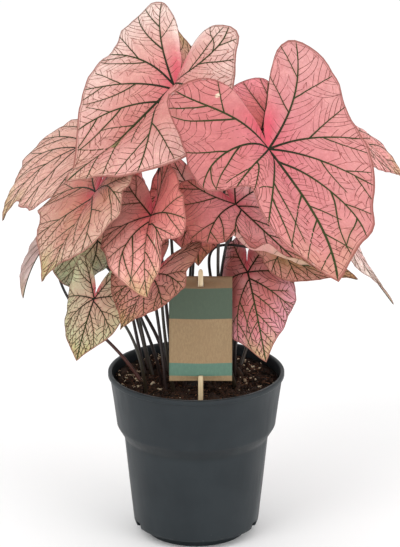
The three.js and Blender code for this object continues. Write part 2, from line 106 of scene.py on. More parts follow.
def piece(name, parts, finishes, stands_for=()):
    """One object from several parts. A part is a dict: points in mm, faces, the number of its
    finish, and marks, a dict of arrays with a value or a colour for each point."""
    points = np.concatenate([part["points"] for part in parts]) * MM
    starts = np.cumsum([0] + [len(part["points"]) for part in parts])
    rows = [(faces + start, part.get("finish", 0)) for part, start in zip(parts, starts)
            for faces in part["faces"]]
    corners = np.concatenate([faces.ravel() for faces, _ in rows])
    sizes = np.concatenate([np.full(len(faces), faces.shape[1]) for faces, _ in rows])
    finish_of = np.concatenate([np.full(len(faces), finish) for faces, finish in rows])
    mesh = bpy.data.meshes.new(name)
    mesh.vertices.add(len(points))
    mesh.vertices.foreach_set("co", points.ravel())
    mesh.loops.add(len(corners))
    mesh.loops.foreach_set("vertex_index", corners)
    mesh.polygons.add(len(sizes))
    mesh.polygons.foreach_set("loop_start", np.cumsum(sizes) - sizes)
    mesh.polygons.foreach_set("material_index", finish_of)
    mesh.polygons.foreach_set("use_smooth", np.ones(len(sizes), bool))
    mesh.update(calc_edges=True)
    for mark in sorted({mark for part in parts for mark in part.get("marks", {})}):
        add_mark(mesh, mark, [part.get("marks", {}).get(mark, np.zeros(len(part["points"])))
                              for part in parts])
    for finish in finishes:
        mesh.materials.append(finish)
    mesh.validate()
    made = bpy.data.objects.new(name, mesh)
    bpy.context.scene.collection.objects.link(made)
    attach(made, "root")
    if stands_for:
        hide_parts(*stands_for)
    return made


def grid_faces(rows, columns, ring=False):
    """The four-sided faces of a grid of points, rows times columns. A ring joins its last column
    to the first."""
    row = np.arange(rows - 1)[:, None] * columns
    below = row + columns
    column = np.arange(columns if ring else columns - 1)[None, :]
    after = (column + 1) % columns
    return np.stack([row + column, below + column, below + after, row + after], -1).reshape(-1, 4)


def fan(centre, ring):
    """Triangles from one point to every step of a closed ring. Points and ring are given by number."""
    return np.stack([np.full(len(ring), centre), ring, np.roll(ring, -1)], -1)


def round_turn(steps):
    """Angles in equal steps once round."""
    return np.linspace(0, 2 * np.pi, steps, endpoint=False)


def smooth(value, low, high):
    """0 below low and 1 above high, with a soft rise between them."""
    share = np.clip((value - low) / (high - low), 0, 1)
    return share * share * (3 - 2 * share)


# %% [markdown]
# ## Finishes
# A finish is a small network of nodes. The helper adds a node and joins its inputs, so that each
# finish below reads as a recipe.


# %% Finishes: helpers
def colour(code):
    """A colour from its usual six-digit code, as light."""
    parts = [int(code[i:i + 2], 16) / 255 for i in (0, 2, 4)]
    return [((part + 0.055) / 1.055) ** 2.4 if part > 0.04045 else part / 12.92 for part in parts] + [1]


class Recipe:
    """A material and its nodes. Each call adds one node and returns its first output. A colour may
    be given by its three parts alone."""

    def __init__(self, name):
        self.material = bpy.data.materials.new(name)
        self.material.use_nodes = True
        self.nodes = self.material.node_tree.nodes
        self.join = self.material.node_tree.links.new
        self.surface = self.nodes["Principled BSDF"]

    def put(self, socket, value):
        if isinstance(value, bpy.types.NodeSocket):
            self.join(value, socket)
        elif socket.type == "RGBA" and len(value) == 3:
            socket.default_value = (*value, 1)
        else:
            socket.default_value = value

    def add(self, kind, settings=(), output=0, **inputs):
        """An input is named with _ for a space, or by its number after a _."""
        made = self.nodes.new("ShaderNode" + kind)
        for setting, value in dict(settings).items():
            setattr(made, setting, value)
        for place, value in inputs.items():
            key = int(place[1:]) if place[1:].isdigit() else place.replace("_", " ")
            self.put(made.inputs[key], value)
        return made.outputs[output]

    def mark(self, name, output="Fac"):
        return self.add("Attribute", {"attribute_name": name}, output=output)

    def place(self):
        """Where a point lies on the piece, in metres."""
        return self.add("TexCoord", output="Object")

    def math(self, operation, first, second):
        return self.add("Math", {"operation": operation}, _0=first, _1=second)

    def times(self, first, second):
        return self.math("MULTIPLY", first, second)

    def vector(self, operation, output=0, **inputs):
        return self.add("VectorMath", {"operation": operation}, output, **inputs)

    def ramp(self, value, low, high, start=0.0, end=1.0):
        """From start at low to end at high, with a soft rise or fall between them."""
        return self.add("MapRange", {"interpolation_type": "SMOOTHSTEP"}, Value=value,
                        From_Min=low, From_Max=high, To_Min=start, To_Max=end)

    def mix(self, share, first, second, way="MIX"):
        made = self.nodes.new("ShaderNodeMix")
        made.data_type, made.blend_type = "RGBA", way
        for number, value in ((0, share), (6, first), (7, second)):
            self.put(made.inputs[number], value)
        return made.outputs[2]

    def noise(self, where, size, detail=4.0, roughness=0.55, stretch=(1, 1, 1), output=0):
        """Soft spots; size is that of a spot in mm."""
        if stretch != (1, 1, 1):
            where = self.add("Mapping", Vector=where, Scale=stretch)
        return self.add("TexNoise", output=output, Vector=where, Scale=1 / (size * MM),
                        Detail=detail, Roughness=roughness)

    def bump(self, height, depth, below=None):
        """depth is how far the height reaches, in mm."""
        inputs = {"Height": height, "Distance": depth * MM, "Strength": 1.0}
        if below:
            inputs["Normal"] = below
        return self.add("Bump", **inputs)

    def finish(self, **inputs):
        for place, value in inputs.items():
            self.put(self.surface.inputs[place.replace("_", " ")], value)
        return self.material


# %% [markdown]
# ## The outline of a leaf
# All leaves share one outline: a drawn-out tip, full shoulders, round rear lobes and a deep notch
# where the stalk meets the blade. It is given as the reach from the stalk, as a share of the
# leaf's length, by the angle from the tip.

# %% The outline of a leaf
MARGIN = np.array([
    (0, 1.0), (7, 0.875), (16, 0.775), (30, 0.69), (48, 0.63), (68, 0.59), (90, 0.57), (110, 0.58),
    (126, 0.625), (140, 0.67), (150, 0.665), (158, 0.6), (164, 0.48), (169, 0.34), (174, 0.20),
    (177.5, 0.10), (180, 0.055),
])


def reach(angle):
    """A smooth curve through the points of MARGIN: between two points it follows the cubic with
    the slopes that the neighbouring points give."""
    x, y = MARGIN.T
    slopes = np.empty(len(x))
    slopes[1:-1] = (y[2:] - y[:-2]) / (x[2:] - x[:-2])
    slopes[0], slopes[-1] = (y[1] - y[0]) / (x[1] - x[0]), (y[-1] - y[-2]) / (x[-1] - x[-2])
    i = np.clip(np.searchsorted(x, angle, side="right") - 1, 0, len(x) - 2)
    width = x[i + 1] - x[i]
    t = (angle - x[i]) / width
    ends = y[i] + (y[i + 1] - y[i]) * t * t * (3 - 2 * t)
    return ends + width * t * (1 - t) * ((1 - t) * slopes[i] - t * slopes[i + 1])


print("outline: reaches", reach(np.array([90.0]))[0].round(2), "of its length to the side")

# %% [markdown]
# ## The shape of a blade
# A blade starts flat. Each half rises from the midrib and arches back down, the margin waves, the
# blade twists, its tip and its lobes bend, and last the whole blade is turned to its place.

# %% The shape of a blade
BREADTH = 0.6  # of its length that a blade reaches to a side, over which an arch or a lift is told
WAVE_AT = 0.62  # of its length from the stalk, where a wave is as high as told
NEARLY_FLAT = 1e-7  # the least bend, so that nothing is divided by zero


def turned(leaf):
    """The three turns of a blade, one after the other, as a matrix."""
    heading, pitch, roll = np.radians([leaf["heading"], leaf["pitch"], leaf["roll"]])
    c, s = math.cos(heading), math.sin(heading)
    about_z = np.array([[c, -s, 0], [s, c, 0], [0, 0, 1]])
    c, s = math.cos(pitch), math.sin(pitch)
    about_y = np.array([[c, 0, s], [0, 1, 0], [-s, 0, c]])
    c, s = math.cos(roll), math.sin(roll)
    about_x = np.array([[1, 0, 0], [0, c, -s], [0, s, c]])
    return about_z @ about_y @ about_x


def flat_blade(leaf, angle, share):
    """The blade before it is bent: how far a point lies from the stalk, which way, how far along
    the midrib and how far across it."""
    length, away, left = leaf["length"], np.abs(angle), angle > 0
    in_front = np.sin(np.radians(2 * np.minimum(away, 90))) ** 2
    behind = np.sin(np.radians(2 * np.maximum(away - 90, 0))) ** 2
    dented = 1 - sum(depth * np.exp(-((angle - at) / wide) ** 2) for depth, at, wide in leaf["dents"])
    radius = reach(away) * share * length
    radius = radius * (1 + np.where(left, *leaf["full"]) * in_front)
    radius = radius * (1 + np.where(left, *leaf["rear"]) * behind)
    radius = radius * dented
    opened = away - leaf["gape"] * smooth(away, 90, 150) * np.clip((180 - away) / 8, 0, 1)
    turn = np.radians(np.sign(angle) * opened)
    along = radius * np.cos(turn)
    along = np.where(along < 0, along * leaf["lobes"], along)
    across = radius * np.sin(turn) * np.where(left, *leaf["width"]) + leaf["skew"] * along ** 2 / length
    return radius, turn, along, across


def blade_points(leaf, angle, share):
    """Points of the middle of a blade, in mm. The angle runs from the tip, 0, round the left lobe
    to the notch at 180 or the right lobe to -180; the share from the stalk, 0, to the margin, 1."""
    length = leaf["length"]
    radius, turn, along, across = flat_blade(leaf, angle, share)

    fold = np.radians(np.where(across > 0, *leaf["fold"]))
    arch = np.radians(np.where(across > 0, *leaf["arch"])) / (BREADTH * length)
    end = fold - arch * np.abs(across)
    out = np.sign(across) * (np.sin(fold) - np.sin(end)) / arch
    rise = (np.cos(end) - np.cos(fold)) / arch
    for count, height, phase in leaf["waves"]:
        wave = height * np.cos(count * (turn - math.radians(phase)))
        rise = rise + wave * (radius / (WAVE_AT * length)) ** 2

    twist = math.radians(leaf["twist"]) * along / length
    y = out * np.cos(twist) - rise * np.sin(twist)
    up = out * np.sin(twist) + rise * np.cos(twist)
    bend = np.radians(np.where(along >= 0, leaf["droop"], leaf["lift"] / BREADTH)) / length
    bend = np.where(np.abs(bend) < NEARLY_FLAT, NEARLY_FLAT, bend)
    steep = bend * along
    x = np.sin(steep) / bend
    down = (1 - np.cos(steep)) / bend
    local = np.stack([x + up * np.sin(steep), y, up * np.cos(steep) - down], -1)
    return np.array(leaf["at"]) + local @ turned(leaf).T


# %% [markdown]
# ## The leaves
# at is where a blade sits on its stalk, heading the way its tip points, pitch how far the tip is
# tipped down and roll its turn about the midrib, in degrees. length is in mm from the stalk to the
# tip. Where there are two numbers, they are for the left and the right half.
#
# On the flat outline: width, full and rear stretch the halves, all of them, in front and behind;
# lobes is the length of the lobes, gape how far the notch opens, skew the midrib's sideways curve,
# and dents are places of the margin, as depth, angle and width, that fall back or stand out.
# Bent: fold and arch are how steeply a half rises and how much it turns back down, droop and lift
# bend the tip and the lobes, twist turns the tip, waves are a number of waves, their height and
# their angle, and curls are places of the margin, as height in mm, angle and width, that curl up.
#
# stalk is where the stalk leaves the soil, and its two guide points. veins are the main ones: the
# share of the midrib where one starts, and the angles at which it leaves and ends.
#
# tint gives the pink near the stalk, halfway and at the margin; flecks, how much cream and green
# speckles it; net, how wide the thin veins are. spot is one cream (0) or green (1) spot: angle,
# share, size in mm and colour; a share of 9 puts it off the leaf. tip is how far the drawn-out tip
# turns yellow-green, and red makes the foot of the stalk red. pale tells how much paler, or with a
# minus how much deeper, the pink is towards the tip, the left, the left lobe, the right lobe and
# the right; this is partly the leaf's own colour and partly painted light and shade, paler on sides
# that lie in shade and deeper on sides that the lamps light well.

# %% The leaves
PLAIN = dict(
    roll=0, width=(1, 1), full=(0, 0), rear=(0, 0), lobes=1, gape=0, skew=0, dents=(),
    fold=(12, 12), arch=(35, 35), droop=35, lift=0, twist=0, waves=(), curls=(),
    veins=((0, 0, 0), (0.1, 46, 28), (0, 66, 54), (0, 104, 90), (0, 142, 150),
           (0.1, -46, -28), (0, -66, -54), (0, -104, -90), (0, -142, -150)),
    tint=("dd8484", "e69a94", "eab0a6"), flecks=0.3, net=1, spot=(0, 9, 1, 0), tip=0.6, red=0,
    pale=(0, 0, 0, 0, 0),
)
LEAVES = [PLAIN | leaf for leaf in (
    dict(at=(-17, -20, 374), heading=-146, pitch=46, roll=11, length=123, width=(1.03, 1.12),
         full=(0, -0.04), rear=(0, 0.19), lobes=0.9, gape=12, skew=0.17, dents=((-0.1, -116, 8),
         (0.1, 150, 24), (-0.13, 145, 10), (-0.03, 20, 8)), fold=(28, 35), arch=(83, 25), droop=-30,
         lift=-31, twist=-25, waves=((2, 2.5, -5), (3, 2, 20)), stalk=((-14, -10), (-28, -38, 241),
         (-37, -42, 326)), veins=((0, -9, 0), (0.14, 56, 28), (0, 92, 88), (0, 112, 149),
         (0.15, -52, -23), (0.03, -75, -52), (0, -118, -90), (0, -143, -152)),
         tint=("cc7274", "cd9289", "ddb7ae"), flecks=0.5, net=1.15, spot=(1, 0.56, 5.5, 1), tip=0.2,
         pale=(-0.31, -0.09, 0.16, 0.36, 0.14)),
    dict(at=(54, -94, 345), heading=-50, pitch=50, roll=7, length=122, width=(1.18, 1.19),
         rear=(0.22, 0.12), lobes=1.04, gape=13, skew=0.12, dents=((0.51, -49, 32), (0.14, -123, 22),
         (-0.09, -138, 6), (0.04, 35, 32), (-0.06, 21, 7)), fold=(-1, 42), arch=(3, 144), droop=7,
         lift=-24, twist=52, waves=((2, 8, -35), (3, 6.5, -15)), curls=((4, -42, 9),), stalk=((39, -5),
         (1, -43, 197), (16, -45, 371)), veins=((0, 12, 0), (0.1, 50, 17), (0, 69, 45), (0, 98, 79),
         (0, 138, 148), (0.06, -30, -25), (0, -65, -60), (0, -124, -84), (0, -155, -145)),
         tint=("c66571", "c4797b", "ca8583"), flecks=0.1, spot=(-156, 0.74, 1.8, 0), tip=0.2,
         pale=(0, 0.09, 0.28, -0.22, -0.2)),
    dict(at=(51, 16, 328), heading=-140, pitch=49, roll=-13, length=66, width=(0.86, 1.08), lobes=0.97,
         gape=-4, fold=(13, 23), arch=(33, 8), droop=40, lift=2, twist=-2, waves=((2, 2, 86),
         (3, 2, 16)), stalk=((15, 9), (10, 42, 217), (42, 46, 286)), veins=((0, 0, 0), (0.1, 46, 28),
         (0, 66, 54), (0, 104, 90), (0, 142, 150), (0.1, -46, -28), (0, -66, -54), (0, -110, -100),
         (0, -160, -153)), tint=("e67c77", "ef8a8c", "fa9fa8"), flecks=0.2, pale=(0, 0, 0.2, -0.1, 0)),
    dict(at=(-8, 11, 355), heading=111, pitch=-69, roll=7, length=60, skew=-0.04,
         dents=((-0.12, 0, 3.5),), fold=(10, 3), arch=(35, 39), droop=26, twist=4,
         waves=((3, 1.5, 15),), stalk=((-14, -3), (0, 49, 189), (3, 55, 272)),
         tint=("ba3e58", "b8726b", "bf9d81"), flecks=0.5),
    dict(at=(-84, 39, 310), heading=-170, pitch=13, roll=-15, length=103, full=(0.09, 0),
         dents=((-0.1, 42, 6), (0.13, 12, 9), (-0.13, -38, 6)), fold=(9, -3), arch=(11, 19), droop=59,
         twist=4, waves=((2, 1.5, 80),), stalk=((-19, 13), (-23, 48, 212), (-153, 43, 228)),
         tint=("d19a8a", "d6a697", "daae9f"), flecks=0.7, net=0.9),
    dict(at=(-76, -66, 303), heading=-136, pitch=44, roll=16, length=88, width=(0.85, 1.13),
         full=(0.12, 0), lobes=0.85, gape=5, dents=((0.08, -5, 30), (-0.16, -68, 6), (-0.1, 75, 6),
         (0.07, 94, 6)), fold=(19, 3), arch=(51, 6), droop=5, lift=3, twist=-8, stalk=((-28, -13),
         (-20, -12, 158), (-65, -24, 216)), veins=((0, 0, 0), (0.05, 68, 35), (0, 124, 82),
         (0, 150, 155), (0.08, -46, -37), (0, -112, -79), (0, -132, -146)),
         tint=("ad4944", "b57d68", "c59e8c"), flecks=0.8, net=1.2,
         pale=(0.16, -0.05, 0.1, -0.42, -0.28)),
    dict(at=(-34, -75, 287), heading=-106, pitch=36, roll=30, length=71, width=(1.03, 1.05),
         full=(0.06, 0), lobes=0.97, dents=((0.37, 33, 17), (0.07, 5, 7), (0.07, -43, 10),
         (-0.18, -86, 6), (0.07, 100, 6)), fold=(20, 22), arch=(20, 32), droop=40, lift=-33, twist=-20,
         waves=((2, 4, -40), (3, 2.5, -20)), stalk=((-23, -27), (-24, -20, 196), (-53, -8, 273)),
         veins=((0, 0, 0), (0.12, 58, 32), (0, 79, 70), (0, 152, 154), (0.08, -50, -18), (0, -75, -70),
         (0, -140, -143)), tint=("d16564", "d3817b", "db9188"), flecks=0.4, net=1.1,
         spot=(20, 0.65, 1.8, 0), pale=(0.4, -0.25, -0.48, 0.5, 0.9)),
    dict(at=(30, -59, 291), heading=-38, pitch=32, roll=3, length=81, width=(1.03, 0.97),
         full=(0, -0.18), lobes=0.81, gape=4, skew=0.05, dents=((-0.13, -30, 10), (0.09, -47, 6),
         (-0.06, -89, 6)), fold=(13, -1), arch=(29, 46), droop=11, lift=-16, twist=-4,
         waves=((2, 2.5, -5),), curls=((12, -26, 28),), stalk=((21, -5), (12, -6, 212), (22, -46, 246)),
         veins=((0, 2, 0), (0.03, 60, 50), (0, 103, 96), (0, 150, 152), (0.08, -64, -45), (0, -96, -73),
         (0, -146, -157)), tint=("e78f97", "eca1a2", "d2857b"), flecks=0.4, net=1.15,
         pale=(0.2, 0.85, 0.9, -0.22, -0.25)),
    dict(at=(40, -31, 227), heading=-84, pitch=49, roll=22, length=72, width=(0.98, 0.95),
         full=(0, 0.07), lobes=0.95, gape=-7, skew=0.05, dents=((-0.07, -28, 9), (-0.07, 57, 11),
         (-0.04, 25, 9)), fold=(-19, -7), arch=(44, 75), droop=35, lift=35, twist=-4,
         waves=((3, 1.5, -15),), stalk=((32, -3), (28, -11, 143), (30, -20, 183)), veins=((0, 8, 0),
         (0.07, 62, 46), (0, 98, 90), (0, 142, 148), (0.08, -42, -20), (0, -96, -84), (0, -147, -151)),
         tint=("c88a89", "b96966", "cb8a95"), flecks=0.5, net=1.7, pale=(0, 0.26, 0.9, 0.4, -0.45)),
    dict(at=(-78, -62, 216), heading=-120, pitch=59, roll=2, length=52, lobes=1.05, gape=4, skew=-0.03,
         dents=((-0.05, -149, 6), (0.05, 3, 20), (-0.13, -100, 16)), fold=(9, 6), arch=(26, 43),
         droop=9, lift=-8, twist=4, waves=((3, 2, -20),), stalk=((-38, -22), (-39, -30, 157),
         (-52, -42, 197)), veins=((0, -5, 0), (0.04, 64, 42), (0, 110, 100), (0, 154, 152),
         (0, -56, -40), (0, -95, -88), (0, -155, -155)), tint=("c9aa92", "bdac8f", "b3b58c"), flecks=1,
         net=1.9, pale=(0, -0.2, 0.2, 0.2, 0)),
    dict(at=(-32, -73, 239), heading=-129, pitch=38, roll=1, length=59, full=(0, -0.04), lobes=1.1,
         skew=0.07, dents=((0.11, -10, 24), (0.09, 103, 6), (-0.06, 83, 6)), fold=(22, 22),
         arch=(32, 15), droop=6, lift=17, waves=((3, 2, 10),), stalk=((-13, -21), (-33, -32, 196),
         (-23, -45, 243)), veins=((0, -3, 0), (0.04, 64, 46), (0, 102, 80), (0, 148, 150),
         (0.05, -56, -38), (0, -98, -86), (0, -148, -150)), tint=("f19c98", "d4988e", "bc8572"),
         flecks=0.4, net=1.8, pale=(0, 0, 0.25, -0.2, 0)),
    dict(at=(68, -22, 239), heading=-15, pitch=22, roll=1, length=61, lobes=0.96,
         dents=((0.09, -112, 6), (0.04, -38, 25)), fold=(21, 18), arch=(31, 41), droop=2, lift=-10,
         twist=6, waves=((2, 2.5, 20), (3, 2.5, -15)), stalk=((34, 7), (11, 5, 238), (-18, -15, 257)),
         tint=("94714a", "9d7f54", "ca9082"), flecks=0.6),
    dict(at=(112, 2, 335), heading=18, pitch=31, roll=11, length=72, fold=(14, 10), arch=(47, 35),
         droop=26, twist=4, waves=((3, 2, 20),), stalk=((30, 17), (21, 22, 181), (48, 18, 255)),
         tint=("d58483", "db938e", "efa7a4"), flecks=0.3),
    dict(at=(117, 0, 247), heading=-17, pitch=58, roll=-4, length=62, width=(0.57, 0.63), fold=(31, 28),
         arch=(52, 55), droop=21, twist=-3, waves=((2, 2.5, -10), (3, 4.5, -5)), stalk=((36, 12),
         (12, 16, 193), (75, 15, 213)), tint=("86524f", "e9c6c1", "f0dfd6"), flecks=0.4, net=0.7),
    dict(at=(-113, 10, 243), heading=168, pitch=49, roll=4, length=58, width=(0.57, 0.59),
         fold=(40, 34), arch=(41, 45), droop=42, twist=3, waves=((3, 2, 5),), stalk=((-33, -2),
         (-66, 16, 174), (-112, 29, 157)), tint=("f8ccd2", "f8dedc", "f8e6e2"), flecks=0.3, net=0.6,
         red=1),
    dict(at=(0, 13, 275), heading=-88, pitch=31, roll=-1, length=66, gape=-6, fold=(10, 10), droop=13,
         stalk=((-10, -14), (-8, -9, 166), (-5, -5, 223)), tint=("facbc8", "fabab5", "fa9898"),
         flecks=0.3, pale=(-0.15, 0, 0, 0.5, 0.1)),
    dict(at=(-77, 2, 249), heading=-71, pitch=97, roll=-12, length=75, fold=(-1, 10), arch=(48, 35),
         droop=61, twist=-3, stalk=((-33, 14), (-46, 51, 179), (-71, 63, 221)),
         tint=("c8a888", "a8ac84", "98a47e"), flecks=1, net=1.5),
    dict(at=(-43, 46, 277), heading=-23, pitch=69, roll=-16, length=63, fold=(2, 18), arch=(46, 23),
         droop=53, waves=((3, 1.5, 50),), stalk=((-28, 10), (-50, 21, 174), (-58, 33, 231)),
         tint=("ed6462", "e3564f", "e85d56"), flecks=0.3),
    dict(at=(-34, 77, 348), heading=108, pitch=43, roll=16, length=82, lift=-5, twist=6,
         stalk=((-17, 8), (-15, 26, 203), (-22, 48, 284)), tint=("de8784", "e8a098", "efbdb2"),
         flecks=0.7),
    dict(at=(94, 65, 317), heading=50, pitch=36, roll=12, length=69, lift=-5, twist=7, stalk=((29, 22),
         (47, 56, 173), (88, 91, 239)), tint=("e27a86", "ea929a", "eea2a2"), flecks=0.2),
    dict(at=(-76, 66, 287), heading=140, pitch=44, roll=-20, length=67, lift=-5, twist=7,
         stalk=((-36, 10), (-54, 26, 184), (-65, 49, 240)), tint=("cc8078", "d89a8c", "e0b0a0"),
         flecks=0.8),
    dict(at=(75, 42, 273), heading=78, pitch=58, roll=2, length=74, lift=-5, stalk=((20, 23),
         (27, 30, 163), (47, 36, 218)), tint=("c87074", "d88886", "e09c96"), flecks=0.4),
    dict(at=(40, 64, 278), heading=66, pitch=59, length=75, lift=-5, twist=-16, stalk=((16, 18),
         (17, 39, 166), (24, 54, 222)), tint=("d07c7c", "dc928c", "e4a89e"), flecks=0.5),
)]
lengths = [leaf["length"] for leaf in LEAVES]
print("leaves:", len(LEAVES), "from", min(lengths), "to", max(lengths), "mm")

# %% [markdown]
# ## Veins
# Some main veins leave the stalk or the midrib and bend out to the margin. They fork once or twice.
# Thin veins leave them all in even rows, like ribs, and bend towards the tip until they reach the
# vein that loops along the margin, or the thin veins of the next main vein. Finer rungs cross
# between two of them. All are drawn on the flat outline, where the leaf is 1 long, and bent with
# the blade later. A vein is grown in small steps, as on the plant, but all veins of one kind take
# each step together.

# %% Veins: helpers
MAIN_STEPS, THIN_STEPS, RUNG_STEPS, LOOP_STEPS = 25, 8, 4, 145  # points along one vein
MAIN_END, LOOP_AT = 0.985, 0.97  # shares of the way to the margin
STRIDE, STRIDES = 0.016, 44  # one step of a growing vein, and how many at most
FAR = 9.0  # further than anything on the flat outline


def flat(angle, share):
    """A point of the flat outline."""
    angle = np.asarray(angle, float)
    radius = reach(np.abs(angle)) * share
    return np.stack([radius * np.cos(np.radians(angle)), radius * np.sin(np.radians(angle))], -1)


def along(line, share):
    """Points at shares of a line."""
    place = np.asarray(share) * (len(line) - 1)
    i = np.clip(place.astype(int), 0, len(line) - 2)
    return line[i] + (line[i + 1] - line[i]) * (place - i)[:, None]


def bowed(start, end, bulge):
    """A short line from start to end whose middle is pushed sideways by a share of its length."""
    t = np.linspace(0, 1, RUNG_STEPS)[:, None]
    step = end - start
    return start + step * t + np.array([-step[1], step[0]]) * bulge * 4 * t * (1 - t)


def main_vein(start, leave, arrive):
    """A curve that leaves start at one angle and meets the margin at another: the quadratic curve
    whose guide point lies half the way out, in the direction of leaving."""
    end = flat(arrive, MAIN_END)
    guide = start + 0.5 * np.linalg.norm(end - start) * np.array([np.cos(leave), np.sin(leave)])
    t = np.linspace(0, 1, MAIN_STEPS)[:, None]
    return (1 - t) ** 2 * start + 2 * t * (1 - t) * guide + t * t * end


def gaps_to(line, places):
    """The distance of each place to a line."""
    start, step = line[:-1], np.diff(line, axis=0)
    away = places[:, None, :] - start[None]
    share = np.clip((away * step).sum(-1) / (step * step).sum(-1), 0, 1)
    return np.linalg.norm(away - share[..., None] * step, axis=-1).min(1)


# %% [markdown]
# A vein grows like this: its head leaves the parent at an angle, moves on by one stride at a time
# and turns towards the parent's tip. It stops near the margin, or where another parent is closer
# than its own. The heads are kept as arrays, with the number of the parent and the side it grows on.

# %% Veins: growing them
# where a head stops: the gap to another parent, as a share of the gap to its own, for a head that
# grew from the midrib, from the tip's side of another main vein, and from its rear side
STOPS_AT = np.array([0.7, 0.55, 1.6])
NEAR_OWN = 0.012  # a head this close to its own parent always goes on
STRAIGHT_AHEAD = 0.05  # a parent that ends this close to the midrib's line has no side of the tip


def buds(parents, rng, spacing, angle):
    """The heads at the start: one every spacing along both sides of each parent, the way it grows,
    its parent's number and its side."""
    heads, ways, owners, sides = [], [], [], []
    for owner, line in enumerate(parents):
        length = np.linalg.norm(np.diff(line, axis=0), axis=1).sum()
        for side in (1, -1):
            shares = np.arange(spacing * (1.2 if side > 0 else 1.7), length, spacing)
            shares = (shares + spacing * rng.normal(0, 0.09, len(shares))) / length
            shares = shares[shares < 0.96]
            tangent = along(np.gradient(line, axis=0), shares)
            turn = np.arctan2(tangent[:, 1], tangent[:, 0])
            leaves_at = np.radians(angle - 0.35 * angle * shares + rng.normal(0, 3, len(shares)))
            heads.append(along(line, shares))
            ways.append(turn + side * leaves_at)
            owners.append(np.full(len(shares), owner))
            sides.append(np.full(len(shares), side))
    return map(np.concatenate, (heads, ways, owners, sides))


def grown(parents, rng, spacing, angle, bend, steps):
    """Veins that grow from both sides of each parent, each as a dict with its line of so many
    steps. bend is how fast they turn to the tip. Those on the tip's side of a parent reach further
    across than those on its other side."""
    heads, ways, owners, sides = buds(parents, rng, spacing, angle)
    count = len(heads)
    trail, alive, grown_to = [heads.copy()], np.ones(count, bool), np.zeros(count, int)
    at_margin = np.zeros(count, bool)
    aside = np.array([line[-1][1] for line in parents])
    to_tip = -np.sign(aside) * (np.abs(aside) > STRAIGHT_AHEAD)
    stops_at = STOPS_AT[(to_tip[owners] * sides).astype(int)]
    for step in range(1, STRIDES + 1):
        heads = heads + (alive * STRIDE)[:, None] * np.stack([np.cos(ways), np.sin(ways)], -1)
        ways = ways - sides * alive * STRIDE * bend + alive * rng.normal(0, 0.02, count)
        gaps = np.stack([gaps_to(line[::4], heads) for line in parents])
        own = gaps[owners, np.arange(count)]
        gaps[owners, np.arange(count)] = FAR
        share = np.hypot(*heads.T) / reach(np.degrees(np.abs(np.arctan2(heads[:, 1], heads[:, 0]))))
        grown_to[alive] = step
        at_margin |= alive & (share > LOOP_AT)
        alive = alive & ((gaps.min(0) > stops_at * own) | (own < NEAR_OWN)) & (share < LOOP_AT)
        trail.append(heads.copy())
    grown_veins = zip(np.stack(trail, 1), grown_to, owners, sides, at_margin)
    return [dict(line=along(path[:length + 1], np.linspace(0, 1, steps)), owner=owner, side=side,
                 steps=length, at_margin=edge)
            for path, length, owner, side, edge in grown_veins if length > 2]


def rungs_between(thin, size, rng):
    """The fine veins: rungs between neighbouring thin veins, and short links where the thin veins
    of two parents end close to each other. size is the way from one thin vein to the next."""
    rungs = []
    for vein, after in zip(thin, thin[1:]):
        if (vein["owner"], vein["side"]) != (after["owner"], after["side"]):
            continue
        count = int(min(vein["steps"], after["steps"]) * STRIDE / (2.4 * size))
        for u in (np.arange(count) + rng.uniform(0.4, 1.0, count)) / max(count, 1):
            start = along(vein["line"], [u])[0]
            end = along(after["line"], [min(u + rng.normal(0, 0.05), 1)])[0]
            if np.linalg.norm(end - start) < 2.5 * size:
                rungs.append(bowed(start, end, rng.normal(0, 0.12)))
    met = [vein for vein in thin if not vein["at_margin"]]
    tips = np.array([vein["line"][-1] for vein in met]).reshape(-1, 2)
    owners = np.array([vein["owner"] for vein in met])
    for owner, tip in zip(owners, tips):
        away = np.linalg.norm(tips - tip, axis=1) + FAR * (owners == owner)
        if 0.005 < away.min() < 1.5 * size:
            rungs.append(bowed(tip, tips[away.argmin()], rng.normal(0, 0.1)))
    return rungs


# %% [markdown]
# The widths are shares of the midrib's: a main vein narrows evenly, a fork starts wider the longer
# it is, and a leaf with a high net number has wide thin veins.

# %% Veins: all together
MIDRIB = np.linspace(0.97, 0.84, MAIN_STEPS) ** 2
MAIN = 0.85 * np.linspace(0.97, 0.72, MAIN_STEPS) ** 2
THIN = np.linspace(0.22, 0.14, THIN_STEPS)
RUNG, LOOP = 0.11, 0.12
THIN_APART, FORKS_APART = 0.045, 0.21  # from one vein to the next, on a leaf of 120 mm


def vein_net(leaf, rng):
    """The veins of one leaf in four groups: main veins and forks, thin veins, rungs, and the loop
    along the margin. A group has its lines on the flat outline, its widths as shares of the midrib's
    and its order, from 0 for the main veins to 2 for the rungs."""
    (_, leave, arrive), *others = leaf["veins"]
    mains = [main_vein(np.zeros(2), math.radians(leave), arrive)]
    for start, leave, arrive in others:
        mains.append(main_vein(along(mains[0], [start])[0], math.radians(leave), arrive))
    size = THIN_APART * (120 / leaf["length"]) ** 0.6
    forks = [fork for fork in grown(mains, rng, FORKS_APART, 46, 0.6, MAIN_STEPS) if fork["steps"] > 7]
    bold = mains + [fork["line"] for fork in forks]
    thin = grown(bold, rng, size, 68, 3.4, THIN_STEPS)
    rungs = rungs_between(thin, size, rng)
    around = np.linspace(-172, 172, LOOP_STEPS)
    wavy = 0.006 * np.sin(np.radians(around) * 21) * np.sin(np.radians(around) * 8 + 1)

    widths = [MIDRIB, *([MAIN] * (len(mains) - 1))]
    widths += [np.linspace(0.34 + 0.01 * fork["steps"], 0.26, MAIN_STEPS) for fork in forks]
    return [
        (np.array(bold), np.array(widths), 0),
        (np.array([vein["line"] for vein in thin]), np.tile(THIN * leaf["net"], (len(thin), 1)), 1),
        (np.array(rungs), np.full((len(rungs), RUNG_STEPS), RUNG * leaf["net"]), 2),
        (flat(around, LOOP_AT + wavy)[None], np.full((1, LOOP_STEPS), LOOP), 1),
    ]


